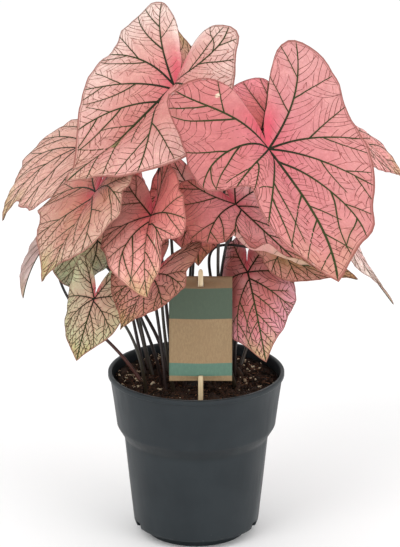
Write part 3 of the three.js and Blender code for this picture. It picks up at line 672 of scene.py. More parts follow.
net = vein_net(LEAVES[0], np.random.default_rng(1))
print("veins of one leaf:", [len(lines) for lines, _, _ in net])

# %% [markdown]
# ## Blades
# A blade is a thin sheet with a top and an underside. Between the veins it puffs up a little, so
# it looks quilted, and its margin ruffles. The columns of the sheet run from the stalk to the
# margin, and the rings round the stalk.

# %% Blades: the sheet
SIDE_COLUMNS, RINGS = 58, 22
BLADE_THICKNESS = 0.36
PUFF, PUFF_WIDE, RUFFLE = 0.015, 0.045, 0.007  # shares of the length


def column_angles():
    """Angles that cut the margin into equal steps, from the notch round the leaf."""
    fine = np.linspace(0, 180, 2000)
    way = flat(fine, 1.0)
    run = np.concatenate([[0], np.cumsum(np.linalg.norm(np.diff(way, axis=0), axis=1))])
    half = np.interp(np.linspace(0, run[-1], SIDE_COLUMNS + 1), run, fine)
    return np.concatenate([-half[1:][::-1], half[:-1]])


COLUMNS = column_angles()
SHARES = np.linspace(0, 1, RINGS + 1) ** 0.9
ANGLE, SHARE = np.meshgrid(COLUMNS, SHARES, indexing="ij")


def unit(ways):
    """Directions of length 1."""
    return ways / np.maximum(np.linalg.norm(ways, axis=-1, keepdims=True), 1e-9)


def normals_of(sheet):
    """Directions square to a sheet of points, columns times rings, towards the top side."""
    round_about = np.roll(sheet, -1, 0) - np.roll(sheet, 1, 0)
    square = np.cross(np.gradient(sheet, axis=1), round_about)
    square[:, 0] = square[:, 1].mean(0)
    return unit(square)


def sheet_of(leaf, veins, rng):
    """The middle of the blade as a grid: its points, the directions square to it, the distance to
    the nearest main vein in mm, and the places on the flat outline."""
    length = leaf["length"]
    places = flat(ANGLE, SHARE)
    near = np.min([gaps_to(line, places.reshape(-1, 2)) for line in veins[0][0]], 0).reshape(ANGLE.shape)
    near = near * length
    sheet = blade_points(leaf, ANGLE, SHARE)
    normal = normals_of(sheet)
    puff = PUFF * length * (1 - np.exp(-(near / (PUFF_WIDE * length)) ** 2))
    ruffle = RUFFLE * length * SHARE ** 5 * sum(
        np.cos(np.radians(count * ANGLE) + rng.uniform(0, 6.28)) for count in (9, 14, 23)) / 2
    curl = smooth(SHARE, 0.8, 1) ** 1.5 * sum(
        height * (1 + 0.3 * np.cos(np.radians(ANGLE * 17))) * np.exp(-((ANGLE - at) / wide) ** 4)
        for height, at, wide in leaf["curls"])
    raised = (puff * (1 - 0.4 * SHARE ** 8) + ruffle) * (SHARE > 0) + curl
    sheet = sheet + normal * raised[..., None]
    sheet = sheet + unit(sheet[:, :1] - sheet) * (0.5 * curl)[..., None]
    return sheet, normals_of(sheet), near, places


print("sheet:", len(COLUMNS), "columns and", len(SHARES), "rings")

# %% [markdown]
# The ribs read their place from the sheet: an angle and a share give four neighbouring points, and
# the weights of those points give the place and the direction square to it. Each rib is a closed
# tube that is set into the sheet; that of a main vein is wider below than above.


# %% Blades: the ribs
def on_sheet(field, line):
    """The value of a field of the sheet under a line on the flat outline."""
    angle = np.degrees(np.arctan2(line[:, 1], line[:, 0]))
    share = np.clip(np.hypot(line[:, 0], line[:, 1]) / reach(np.abs(angle)), 0, 0.995)
    column = np.interp(angle, np.append(COLUMNS, 180), np.arange(len(COLUMNS) + 1))
    ring = np.interp(share, SHARES, np.arange(len(SHARES)))
    i, j = np.floor(column).astype(int), np.minimum(np.floor(ring).astype(int), len(SHARES) - 2)
    u, v = (column - i)[:, None], (ring - j)[:, None]
    i, after = i % len(COLUMNS), (i + 1) % len(COLUMNS)
    return ((1 - u) * (1 - v) * field[i, j] + u * (1 - v) * field[after, j]
            + (1 - u) * v * field[i, j + 1] + u * v * field[after, j + 1])


def tubes(centres, up, sections):
    """Closed tubes of equal steps: centres holds the points of each tube's path, up the direction
    that a section's second number goes along, and sections the points of each section, as across
    and up in mm. A section that runs anticlockwise has its faces turned, so that all face out."""
    across = unit(np.cross(np.gradient(centres, axis=1), up))
    count, steps, sides = sections.shape[:3]
    points = (centres[:, :, None] + sections[..., :1] * across[:, :, None]
              + sections[..., 1:] * up[:, :, None])
    points = np.concatenate([points.reshape(count, -1, 3), centres[:, :1], centres[:, -1:]], 1)
    first = np.arange(sides)
    last, heart = first + (steps - 1) * sides, steps * sides
    caps = np.concatenate([fan(heart, first)[:, [0, 2, 1]], fan(heart + 1, last)])
    walls = grid_faces(steps, sides, ring=True)[:, ::-1]
    shift = (np.arange(count) * (steps * sides + 2))[:, None, None]
    faces = [(walls + shift).reshape(-1, 4), (caps + shift).reshape(-1, 3)]
    (x, y), (next_x, next_y) = sections[0, 0].T, np.roll(sections[0, 0], -1, 0).T
    anticlockwise = (x * next_y - y * next_x).sum() > 0
    return points.reshape(-1, 3), [rows[:, ::-1] for rows in faces] if anticlockwise else faces


BOLD_SECTION = np.array([(-0.5, -0.2), (-0.42, 0.26), (0.42, 0.26), (0.5, -0.2), (0, -0.6)])
FINE_SECTION = np.array([(-0.5, 0.10), (0, 0.25), (0.5, 0.10)])
LIFT = 0.06  # mm that the ribs stand higher than their sections say


def ribs(leaf, sheet, normal, group, main_width):
    """All ribs of one group, as a part of the blade. A section's width grows with the vein's, and
    so does its depth in the sheet, but its height over the sheet doesn't."""
    lines, widths, order = group
    if not len(lines):
        return []
    count, steps = widths.shape
    up = unit(on_sheet(normal, lines.reshape(-1, 2)))
    centres = on_sheet(sheet, lines.reshape(-1, 2)) + up * LIFT
    section = FINE_SECTION if order else BOLD_SECTION
    wide = (widths * main_width)[..., None]
    fade = np.ones((1, steps, 1))
    fade[:, -1] = 0.25
    high = np.where(section[:, 1] < -0.1, section[:, 1] * wide * 0.9, section[:, 1])
    sections = np.stack([section[:, 0] * wide * fade, high], -1)
    points, faces = tubes(centres.reshape(count, steps, 3), up.reshape(count, steps, 3), sections)
    out = np.linalg.norm(lines, axis=-1)
    out = np.concatenate([np.repeat(out, len(section), 1), out[:, :1], out[:, -1:]], 1).ravel()
    marks = {"Out": out, "Order": np.full(len(points), float(order)),
             "Net": np.full(len(points), float(leaf["net"])),
             "Tint": np.tile(colour(leaf["tint"][1]), (len(points), 1))}
    return [{"points": points, "faces": faces, "finish": 2, "marks": marks}]


# %% [markdown]
# The tint runs from a deeper pink at the stalk and in the notch to a paler one at the margin, and
# to a yellow green at the tip.

# %% Blades: the tint
PALE_AT = (0, 80, 150, -150, -80)  # the angles that the numbers of pale belong to
NOTCH_PINK, TIP_GREEN = np.array(colour("cc3f58")), np.array(colour("aba65a"))


def towards(tint, other, amount):
    """The tint moved to another one, all the way where the amount is 1."""
    return tint + (other - tint) * amount[..., None]


def tint_of(leaf):
    """The colour of every point of the sheet."""
    inner, middle, outer = (np.array(colour(code)) for code in leaf["tint"])
    away = np.abs(ANGLE)
    out = SHARE * reach(away)
    tint = towards(inner, middle, smooth(SHARE, 0.05, 0.5))
    tint = towards(tint, outer, smooth(SHARE, 0.45, 0.95))
    # pale is partly the leaf's own colour and partly painted light and shade: each side made paler or
    # deeper to even out its light
    pale = np.interp(ANGLE, PALE_AT, leaf["pale"], period=360) * smooth(SHARE, 0.1, 0.5)
    tint[..., :3] *= 1 + pale[..., None] * np.array([0.35, 1, 1])
    notch = smooth(away, 142, 172) * (1 - smooth(out, 0.12, 0.42))
    notch = np.maximum(notch, 0.6 * (1 - smooth(out, 0.02, 0.10)))
    tint = towards(tint, NOTCH_PINK, 0.9 * notch)
    tip = leaf["tip"] * smooth(SHARE, 0.72, 0.97) * (1 - smooth(away, 4, 20))
    return towards(tint, TIP_GREEN, tip)


# %% [markdown]
# The top and the underside are the sheet, moved half its thickness to each side, and a rim joins
# them at the margin, where the blade is thinner.


# %% Blades: all together
def by_rings(field):
    """A field of the sheet in one row: the point at the stalk once, then ring after ring."""
    return np.concatenate([field[:1, 0], field[:, 1:].swapaxes(0, 1).reshape(-1, *field.shape[2:])])


def skins(sheet, normal, marks):
    """Three parts with the same marks: the top, the underside and the rim between them."""
    thick = (BLADE_THICKNESS / 2 * (1 - 0.55 * SHARE ** 10))[..., None]
    top, under = (by_rings(sheet + way * normal * thick) for way in (1, -1))
    count = len(COLUMNS)
    column = np.arange(count)
    after = (column + 1) % count
    hub, rest = fan(0, column + 1), grid_faces(RINGS, count, ring=True) + 1
    rim = np.stack([column, column + count, after + count, after], -1)
    edge = 1 + (RINGS - 1) * count
    rim_points = np.concatenate([top[edge:], under[edge:]])
    rim_marks = {name: np.concatenate([values[edge:]] * 2) for name, values in marks.items()}
    return [{"points": top, "faces": [hub, rest], "finish": 0, "marks": marks},
            {"points": under, "faces": [hub[:, ::-1], rest[:, ::-1]], "finish": 1, "marks": marks},
            {"points": rim_points, "faces": [rim], "finish": 0, "marks": rim_marks}]


def blade(number, leaf, finishes):
    """The whole blade of a leaf. Gives the direction square to it at its stalk."""
    rng = np.random.default_rng(number)
    veins = vein_net(leaf, rng)
    sheet, normal, near, places = sheet_of(leaf, veins, rng)
    marks = {"Tint": by_rings(tint_of(leaf)), "Share": by_rings(SHARE), "Near": by_rings(near)}
    count = len(marks["Share"])
    spot_angle, spot_share, spot_size, green = leaf["spot"]
    spot = (*flat(spot_angle, spot_share) * leaf["length"] * MM, spot_size * MM, green)
    marks["Spot"] = np.tile(spot, (count, 1))
    marks["Place"] = np.concatenate([by_rings(places) * leaf["length"] * MM, np.zeros((count, 2))], 1)
    marks["Flecks"] = np.full(count, float(leaf["flecks"]))
    parts = skins(sheet, normal, marks)
    main_width = (0.9 + 0.0125 * leaf["length"]) * (0.35 + 0.65 * np.mean(leaf["width"]))
    for group in veins:
        parts += ribs(leaf, sheet, normal, group, main_width)
    piece(f"blade_{number:02d}", parts, finishes, [f"leaf_{number:02d}_blade"])
    return normal[0, 0]


# %% [markdown]
# ### Leaf finishes
# The top is a soft pink, clouded and patched, with a fine net of darker pink, cream and green
# flecks, a soft painted shade beside the main veins and a thin red-brown line at the margin.
# Some leaves have one ragged spot. The underside is paler and duller. Main veins are near black
# at the stalk and dark green further out; the finer ones take their colour from the leaf's own pink.


# %% Leaf finishes
def leaf_top(name, dull):
    """dull is 0 for the top and 1 for the underside."""
    r = Recipe(name)
    place, near, share = r.mark("Place", "Vector"), r.mark("Near"), r.mark("Share")
    tint, flecks = r.mark("Tint", "Color"), r.mark("Flecks")
    cloud = r.noise(place, 22, detail=5)
    base = r.mix(r.ramp(cloud, 0.35, 0.65), r.mix(0.22, tint, (0.55, 0.12, 0.13)), tint)
    pale = r.mix(1.0, tint, (1.35, 1.45, 1.4), "MULTIPLY")
    patch = r.noise(place, 6, detail=6, roughness=0.65)
    base = r.mix(r.ramp(patch, 0.42, 0.72, 0, 0.5), base, pale)
    # the finest net
    bend = r.vector("SCALE", Vector=r.noise(place, 5, detail=2, output=1), Scale=3 * MM)
    net_lines = r.add("TexVoronoi", {"feature": "DISTANCE_TO_EDGE"},
                      Vector=r.vector("ADD", _0=place, _1=bend), Scale=1 / (2.9 * MM))
    base = r.mix(r.ramp(net_lines, 0.02, 0.10, 0.22, 0), base, (0.42, 0.10, 0.08))
    # green and cream flecks, more of them towards the margin
    amount = r.times(flecks, r.ramp(share, 0.35, 1.0, 0.35, 1.0))
    speck = r.noise(place, 2.6, detail=5, roughness=0.7)
    cream = r.times(r.ramp(speck, 0.54, 0.66), r.times(amount, 0.62))
    base = r.mix(cream, base, (0.66, 0.55, 0.33))
    moss = r.noise(place, 5.5, detail=7, roughness=0.75, stretch=(1, 1.3, 1))
    green = r.times(r.ramp(moss, 0.57, 0.68), r.times(amount, 0.5))
    base = r.mix(green, base, (0.25, 0.26, 0.11))
    # the one spot, with a ragged edge
    spot = r.mark("Spot", "Vector")
    centre = r.vector("MULTIPLY", _0=spot, _1=(1, 1, 0))
    size = r.add("SeparateXYZ", output=2, Vector=spot)
    away = r.math("DIVIDE", r.vector("DISTANCE", 1, _0=place, _1=centre), size)
    away = r.math("ADD", away, r.noise(place, 2.0, detail=5, roughness=0.7))
    spot_colour = r.mix(r.mark("Spot", "Alpha"), (0.80, 0.68, 0.50), (0.13, 0.19, 0.04))
    base = r.mix(r.ramp(away, 1.1, 1.6, 0.85, 0), base, spot_colour)
    # a soft painted shade beside the veins, and the margin
    base = r.mix(r.ramp(near, 0.3, 2.2, 0.42, 0), base, (0.36, 0.14, 0.10))
    base = r.mix(r.ramp(share, 0.972, 0.992, 0, 0.85), base, (0.24, 0.07, 0.05))
    if dull:
        base = r.mix(0.35, base, (0.62, 0.44, 0.40))
    grain = r.noise(place, 0.9, detail=3)
    rough = r.ramp(grain, 0.3, 0.7, 0.42 + dull * 0.15, 0.62 + dull * 0.1)
    relief = r.bump(net_lines, 0.10, below=r.bump(grain, 0.05))
    return r.finish(Base_Color=base, Roughness=rough, Normal=relief, Specular_IOR_Level=0.35)


def leaf_veins():
    """Out is the distance from the stalk on the flat outline, and order is that of the group."""
    r = Recipe("leaf veins")
    out, order, net, tint = r.mark("Out"), r.mark("Order"), r.mark("Net"), r.mark("Tint", "Color")
    body = r.mix(r.ramp(out, 0.02, 0.45), (0.008, 0.010, 0.005), (0.030, 0.042, 0.010))
    body = r.mix(r.ramp(out, 0.45, 0.85), body, (0.025, 0.046, 0.009))
    thin = r.mix(1.0, tint, (0.42, 0.37, 0.30), "MULTIPLY")
    thin = r.mix(r.ramp(net, 1.0, 1.8, 0.15, 0.85), thin, (0.050, 0.030, 0.013))
    body = r.mix(r.ramp(order, 0.2, 1.0), body, thin)
    faint = r.mix(1.0, tint, (0.72, 0.54, 0.50), "MULTIPLY")
    body = r.mix(r.ramp(order, 1.2, 2.0), body, r.mix(r.ramp(net, 1.1, 1.7), faint, thin))
    body = r.mix(r.ramp(r.noise(r.place(), 2.0), 0.4, 0.7, 0, 0.35), body, (0.075, 0.060, 0.020))
    grain = r.noise(r.place(), 0.5)
    return r.finish(Base_Color=body, Roughness=r.ramp(grain, 0.3, 0.7, 0.5, 0.7),
                    Normal=r.bump(grain, 0.05), Specular_IOR_Level=0.15)


leaf_finishes = [leaf_top("leaf top", 0), leaf_top("leaf underside", 1), leaf_veins()]
hub_normals = [blade(number, leaf, leaf_finishes) for number, leaf in enumerate(LEAVES, 1)]
faces = [len(thing.data.polygons) for thing in bpy.data.objects if thing.name.startswith("blade_")]
print("blades:", len(faces), "with", sum(faces), "faces, at most", max(faces))

# %% [markdown]
# ## Stalks
# Each stalk is a thin dark tube on a smooth curve from the tuber to the underside of its blade. It
# is thickest at the foot and has three soft edges. One stalk is red at its foot.

# %% Stalks
TUBERS = [((-26, -6, 90), (23, 14)), ((26, 8, 90), (22, 14))]  # middle, then half width and half height
ROOT_DEPTH = 100
STALK_STEPS, STALK_SIDES = 41, 12
FOOT, NECK = 1.5, 0.9  # radii at the foot and under the blade


def root_height(x, y):
    """How deep in the soil a stalk ends: on a tuber, or beside the tubers at a set depth."""
    heights = [at[2] + high * math.sqrt(max(0, 1 - ((x - at[0]) ** 2 + (y - at[1]) ** 2) / wide ** 2))
               for at, (wide, high) in TUBERS]
    return max(*heights, ROOT_DEPTH)


def stalk(number, leaf, top_normal, finish):
    """A cubic curve through two guide points, with a wider foot and a wider neck."""
    rng = np.random.default_rng(400 + number)
    (x, y), low, high = leaf["stalk"]
    hub = np.array(leaf["at"]) - top_normal * 0.5
    guides = np.array([(x, y, root_height(x, y) + 1), low, high, hub], float)
    t = np.linspace(0, 1, STALK_STEPS)[:, None]
    weights = np.concatenate([(1 - t) ** 3, 3 * t * (1 - t) ** 2, 3 * t * t * (1 - t), t ** 3], 1)
    centres = weights @ guides
    up = unit(np.cross(unit(np.gradient(centres, axis=0)), (0.31, 0.95, 0.05)))
    share = t[:, 0]
    radius = FOOT + (NECK - FOOT) * share + 0.35 * np.exp(-((1 - share) / 0.03) ** 2)
    radius = radius + 0.4 * np.exp(-(share / 0.12) ** 2)
    turn = round_turn(STALK_SIDES)
    flute = 1 + 0.05 * np.cos(3 * turn + rng.uniform(0, 6))
    section = np.stack([np.cos(turn) * flute, np.sin(turn) * flute], -1)
    points, faces = tubes(centres[None], up[None], section * radius[None, :, None, None])
    marks = {"Up": np.concatenate([np.repeat(share, STALK_SIDES), [0, 1]]),
             "Own": np.full(len(points), 0.1 if leaf["red"] else rng.uniform(0.3, 1))}
    piece(f"stalk_{number:02d}", [{"points": points, "faces": faces, "marks": marks}], [finish],
          [f"leaf_{number:02d}_stalk"])


def stalk_finish():
    """Near black above and dark brown at the foot. A low number of its own makes the foot red, and
    a high one makes the stalk a little green."""
    r = Recipe("stalk")
    up, own = r.mark("Up"), r.mark("Own")
    body = r.mix(r.ramp(up, 0.1, 0.55), (0.024, 0.010, 0.008), (0.010, 0.008, 0.007))
    red_foot = r.times(r.ramp(own, 0.22, 0.16), r.ramp(up, 0.15, 0.5, 0.8, 0))
    body = r.mix(red_foot, body, (0.12, 0.035, 0.025))
    body = r.mix(r.ramp(own, 0.6, 0.9, 0, 0.5), body, (0.034, 0.030, 0.014))
    streak = r.noise(r.place(), 3, detail=5, stretch=(1, 1, 0.12))
    body = r.mix(r.ramp(streak, 0.5, 0.75, 0, 0.4), body, (0.045, 0.020, 0.016))
    grain = r.noise(r.place(), 0.8, stretch=(1, 1, 0.2))
    return r.finish(Base_Color=body, Roughness=r.ramp(grain, 0.3, 0.7, 0.32, 0.5),
                    Normal=r.bump(grain, 0.08))


stalk_dark = stalk_finish()
for number, (leaf, hub_normal) in enumerate(zip(LEAVES, hub_normals), 1):
    stalk(number, leaf, hub_normal, stalk_dark)
print("stalks:", len(LEAVES))

# %% [markdown]
# ## The pot
# A thin nursery pot: a tapered body on a small foot ring, a wider collar with a rolled lip, and
# eight drain slots at the corner of its floor. Its wall is one profile turned about the upright
# axis, and a fan of triangles closes each skin in the middle of the floor. For a slot, some cells are
# left out of the outer and the inner skin, and four walls join the two skins round the gap. The
# slots towards the sides reach up round the corner.

# %% The pot
OUTSIDE = [  # radius and height of the outer skin, from under the floor up to the lip
    (20, 0), (39.8, 0), (40.5, 0.6), (40.5, 4.9), (41.0, 5.5), (43.0, 6.0), (49.4, 7.6), (50, 9.5),
    (50.3, 12), (50.4, 12.8), (53.9, 46), (57.2, 79.4), (57.4, 81), (57.9, 82.2), (58.9, 83.8),
    (62.6, 90), (63.2, 91.4), (63.4, 93), (65.8, 112), (68.4, 130.4), (68.6, 131), (69.6, 131.1),
    (70, 131.7), (70, 134.2), (69.6, 134.8), (68.9, 135),
]
INSIDE = [  # the inner skin, from the lip down to the floor
    (67.4, 135), (66.9, 134.4), (66.9, 131), (64.5, 112), (62, 91.8), (56.4, 82.4), (56.1, 81),
    (52.6, 46), (49.0, 12.2), (48.7, 9.9), (47.6, 8.2), (42.6, 7.3), (39.2, 6.8), (39.2, 2),
    (38.5, 1.3), (20, 1.3),
]
SLOT_ROWS = [  # the points of both skins that a slot reaches, from the floor up
    [(43.0, 6.0), (49.4, 7.6), (50, 9.5), (50.3, 12)],
    [(42.6, 7.3), (47.6, 8.2), (48.7, 9.9), (49.0, 12.2)],
]
SLOTS, SLOT_COLUMNS = 8, 4
SEGMENTS = 160


def plain_piece(name, shape, finish, node):
    """A piece of one part with one finish, that replaces one node."""
    points, faces = shape
    made = piece(name, [{"points": points, "faces": faces}], [finish], [node])
    print(name, "with", len(made.data.polygons), "faces")


def pot():
    """The points and faces of the pot: two skins, and the slots between them."""
    profile = np.array(OUTSIDE + INSIDE, float)
    turn = round_turn(SEGMENTS)
    ring = np.stack([np.cos(turn), np.sin(turn)], -1)
    heights = np.repeat(profile[:, None, 1:], SEGMENTS, 1)
    points = np.concatenate([profile[:, None, :1] * ring, heights], -1)
    number = np.arange(len(profile) * SEGMENTS).reshape(-1, SEGMENTS)
    rows = [[(OUTSIDE + INSIDE).index(place) for place in skin] for skin in SLOT_ROWS]
    keep = np.ones((len(profile) - 1, SEGMENTS), bool)
    walls = []
    for slot in range(SLOTS):
        middle = round((slot + 0.5) * SEGMENTS / SLOTS)
        columns = middle - SLOT_COLUMNS // 2 + np.arange(SLOT_COLUMNS + 1)
        high = 4 if abs(ring[middle, 0]) > 0.8 else 2  # rows of a slot to the side, and of the others
        for skin in rows:
            keep[min(skin[:high]):max(skin[:high]), columns[:-1]] = False
        outer, inner = (number[np.ix_(skin[:high], columns)] for skin in rows)
        for end, way in ((0, 1), (-1, -1)):
            for a, b, facing in ((outer[:, end], inner[:, end], way), (outer[end], inner[end], -way)):
                walls.append(np.stack([a[:-1], b[:-1], b[1:], a[1:]], -1)[:, ::facing])
    skins = grid_faces(len(profile), SEGMENTS, ring=True)[:, ::-1].reshape(len(profile) - 1, SEGMENTS, 4)
    points = np.concatenate([points.reshape(-1, 3), [(0, 0, OUTSIDE[0][1]), (0, 0, INSIDE[-1][1])]])
    middles = [fan(len(points) - 2, number[0])[:, ::-1], fan(len(points) - 1, number[-1])]
    return points, [skins[keep], np.concatenate(walls), *middles]


def pot_finish():
    """Blue-black moulded plastic, with some dust, a band of painted shade in the step under the collar,
    pale specks near the foot and upright scuffs in its gloss."""
    r = Recipe("pot plastic")
    height = r.add("SeparateXYZ", output=2, Vector=r.place())
    cloud = r.noise(r.place(), 40, detail=3)
    base = r.mix(r.ramp(cloud, 0.3, 0.7), (0.0148, 0.0202, 0.0240), (0.0205, 0.0270, 0.0312))
    dust = r.noise(r.place(), 0.9, detail=6, roughness=0.8)
    base = r.mix(r.ramp(dust, 0.68, 0.76, 0, 0.18), base, (0.15, 0.16, 0.17))
    # painted shade: the step under the collar made darker, so that it doesn't glow with the floor's light
    step = r.times(r.ramp(height, 77 * MM, 83 * MM), r.ramp(height, 88 * MM, 92 * MM, 0.35, 0))
    base = r.mix(step, base, (0.008, 0.010, 0.011))
    speck = r.noise(r.place(), 3.2, detail=3, roughness=0.6)
    near_foot = r.times(r.ramp(height, 8 * MM, 20 * MM, 0.7, 0), r.ramp(speck, 0.70, 0.73))
    base = r.mix(near_foot, base, (0.35, 0.37, 0.38))
    scuff = r.noise(r.place(), 14, detail=7, roughness=0.7, stretch=(1, 1, 0.15))
    return r.finish(Base_Color=base, Roughness=r.ramp(scuff, 0.35, 0.7, 0.40, 0.54),
                    Normal=r.bump(r.noise(r.place(), 0.35, detail=2), 0.03), Specular_IOR_Level=0.25)


plain_piece("nursery_pot", pot(), pot_finish(), "pot")

# %% [markdown]
# ## Soil
# Dark potting mix: a rough bed with bark chips, curled brown fibres and cream grains. The bed is a
# disc of waves that closes under itself, the loose bits are eight-cornered lumps, and the fibres are
# thin tubes. It stands a little higher near the pot's wall, where the cream grains gather.

# %% Soil: the bed
BED_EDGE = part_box("soil")[1].x / MM
BED_HEIGHT = 124.9
BED_BELOW = [(61.5, 91.5), (55.7, 82), (48.6, 12), (38, 8)]  # radius and height, down the pot's inside
BED_RINGS, BED_COLUMNS = 50, 150


def lumps(x, y):
    """The height of the bed over its mean, a sum of long and short waves."""
    long_waves = 1.2 * np.sin(x / 7) * np.cos(y / 9 + 1) + 0.6 * np.sin((x + y) / 4 + 2)
    short = 0.5 * np.sin(x / 2.3 + 2 * np.sin(y / 5)) * np.cos(y / 2.1 + 1.3 * np.sin(x / 4))
    return long_waves + short + 0.25 * np.sin(x * 1.7 + y) * np.sin(y * 1.3 - x * 0.6 + 1)


def rise_to_wall(x, y):
    """How much higher the mix stands near the pot's wall."""
    return 1.6 * smooth(np.hypot(x, y), 40, 62)


def soil_bed():
    """Rings from the middle to the wall, then down along the wall, with a fan in both middles."""
    turn = round_turn(BED_COLUMNS)
    radii = BED_EDGE * np.sqrt(np.linspace(0.0002, 1, BED_RINGS))
    x, y = radii[:, None] * np.cos(turn), radii[:, None] * np.sin(turn)
    inward = 1 - smooth(np.hypot(x, y), BED_EDGE - 4, BED_EDGE)
    z = BED_HEIGHT + lumps(x, y) * (0.3 + 0.7 * inward) + rise_to_wall(x, y)
    below = [np.stack([radius * np.cos(turn), radius * np.sin(turn), np.full(len(turn), height)], -1)
             for radius, height in BED_BELOW]
    points = np.concatenate([np.stack([x, y, z], -1).reshape(-1, 3), *below])
    number = np.arange(len(points)).reshape(-1, len(turn))
    points = np.concatenate([points, [(0, 0, BED_HEIGHT + lumps(0, 0)), (0, 0, BED_BELOW[-1][1])]])
    middles = [fan(len(points) - 2, number[0]), fan(len(points) - 1, number[-1])[:, ::-1]]
    return points, [grid_faces(*number.shape, ring=True), *middles]


# %% [markdown]
# The loose bits lie on the bed: chips and crumbs everywhere, the cream grains most of all in
# clusters, and the fibres last.

# %% Soil: the loose bits
GRAIN_CLUSTERS = np.array([  # direction in degrees and share of the way to the wall
    (173, 0.86), (176, 0.80), (162, 0.9), (193, 0.84), (48, 0.84), (62, 0.88), (35, 0.8), (248, 0.93),
    (268, 0.95), (290, 0.9), (318, 0.85), (340, 0.72), (100, 0.7), (128, 0.9), (5, 0.6), (215, 0.6),
])
CUBE = np.array([(x, y, z) for x in (-1, 1) for y in (-1, 1) for z in (-1, 1)], float)
CUBE_FACES = np.array([(0, 1, 3, 2), (4, 6, 7, 5), (0, 4, 5, 1), (2, 3, 7, 6), (0, 2, 6, 4), (1, 5, 7, 3)])


def scattered(count, reach_out, clusters, rng):
    """Places on the bed, even or in clusters, each far enough from the pot's wall for its bit."""
    turn, far = rng.uniform(0, 2 * np.pi, count), np.sqrt(rng.uniform(0.02, 1, count))
    if len(clusters):
        home = rng.integers(0, len(clusters), count)
        turn = np.radians(clusters[home, 0]) + rng.normal(0, 0.1, count)
        far = clusters[home, 1] + rng.normal(0, 0.07, count)
    radius = (BED_EDGE - 1 - reach_out) * np.clip(far, 0, 1)
    return radius * np.cos(turn), radius * np.sin(turn)


def crumbs(count, size, flat_by, rng, clusters=()):
    """Small angular bits: an eight-cornered lump each, stretched, turned and laid on the bed."""
    corners = CUBE[None] * (1 + rng.uniform(-0.35, 0.25, (count, 8, 3)))
    corners = corners * (size * rng.lognormal(0, 0.35, (count, 1, 1)) * np.array(flat_by) / 2)
    for a, b, most in ((1, 2, 0.35), (0, 2, 0.35), (0, 1, 1)):  # tipped a little, then turned any way
        turn = rng.uniform(-np.pi, np.pi, count) * most
        c, s = np.cos(turn)[:, None], np.sin(turn)[:, None]
        first, second = corners[..., a].copy(), corners[..., b].copy()
        corners[..., a], corners[..., b] = first * c - second * s, first * s + second * c
    x, y = scattered(count, np.abs(corners).max(axis=(1, 2)), clusters, rng)
    z = BED_HEIGHT + lumps(x, y) + rise_to_wall(x, y) + rng.uniform(-0.1, 0.6, count) * size * 0.4
    points = (corners + np.stack([x, y, z], -1)[:, None]).reshape(-1, 3)
    faces = CUBE_FACES + 8 * np.arange(count)[:, None, None]
    return {"points": points, "faces": [faces.reshape(-1, 4)]}


def fibres(count, rng):
    """Thin tubes that lie curled on the bed: each heading turns evenly from one end to the other."""
    steps = np.linspace(-1, 1, 6)[None]
    heading = rng.uniform(0, 2 * np.pi, (count, 1)) + rng.normal(0, 0.7, (count, 1)) * steps
    stride = rng.uniform(0.7, 1.9, (count, 1, 1))
    path = np.cumsum(stride * np.stack([np.cos(heading), np.sin(heading)], -1), 1)
    path -= path.mean(1, keepdims=True)
    x, y = scattered(count, np.full(count, 6.0), (), rng)
    path += np.stack([x, y], -1)[:, None]
    height = BED_HEIGHT + 0.3 + lumps(*path.mean(1).T) + rise_to_wall(*path.mean(1).T)
    height = height[:, None] + rng.uniform(0, 0.9, (count, 1))
    height = height + 0.8 * rng.normal(0, 0.6, (count, 1)) * steps
    centres = np.concatenate([path, height[..., None]], -1)
    turn = round_turn(3)
    thick = rng.uniform(0.14, 0.38, (count, 1, 1, 1))
    thick = thick * np.array([0.6, 1, 1, 1, 1, 0.6])[:, None, None]
    sections = thick * np.stack([np.cos(turn), np.sin(turn)], -1)
    points, faces = tubes(centres, np.tile((0.0, 0.0, 1.0), (*centres.shape[:2], 1)), sections)
    return {"points": points, "faces": faces, "finish": 1}


# %% [markdown]
# All parts of the mix are the same rough, matt stuff in other colours: a dark and a light one in
# spots, with a fine deep grain.


# %% Soil: all together
def soil_finish(name, dark, light, spot):
    r = Recipe(name)
    spots = r.noise(r.place(), spot, detail=7, roughness=0.75)
    grain = r.noise(r.place(), 0.8, detail=6, roughness=0.8)
    return r.finish(Base_Color=r.mix(r.ramp(spots, 0.35, 0.68), dark, light), Roughness=0.92,
                    Normal=r.bump(grain, 0.35), Specular_IOR_Level=0.2)


rng = np.random.default_rng(7)
bed_points, bed_faces = soil_bed()
chips = crumbs(1100, 3.0, (1.3, 0.7, 0.4), rng)
bits = crumbs(2600, 1.3, (1.1, 0.9, 0.7), rng)
grains = [crumbs(240, 1.5, (1.1, 0.9, 0.8), rng, GRAIN_CLUSTERS), crumbs(130, 1.2, (1.1, 0.9, 0.8), rng)]
strands = fibres(1000, rng)
bed = {"points": bed_points, "faces": bed_faces}
soil = piece("soil_bed", [bed, bits | {"finish": 1}, chips | {"finish": 2}],
             [soil_finish("peat", (0.004, 0.003, 0.0025), (0.018, 0.011, 0.008), 4),
              soil_finish("peat crumbs", (0.006, 0.004, 0.003), (0.034, 0.020, 0.014), 6),
              soil_finish("bark", (0.012, 0.007, 0.005), (0.065, 0.033, 0.020), 5)], ["soil"])
loose = piece("soil_grains", [*grains, strands],
              [soil_finish("cream grains", (0.50, 0.40, 0.26), (0.85, 0.74, 0.55), 3),
               soil_finish("bark fibres", (0.045, 0.019, 0.011), (0.27, 0.13, 0.07), 9)])
print("soil:", len(soil.data.polygons), "faces, and", len(loose.data.polygons), "of grains and fibres")

# %% [markdown]
# ## Tubers
# They lie hidden in the soil, brown and rough; their solids are right as they are.

# %% Tubers
tuber_skin = soil_finish("tuber skin", (0.08, 0.04, 0.02), (0.22, 0.12, 0.07), 8)
for name in ("tuber_1", "tuber_2"):
    frame["nodes"][name].data.materials.clear()
    frame["nodes"][name].data.materials.append(tuber_skin)
print("tubers: their own solids, with a new finish")

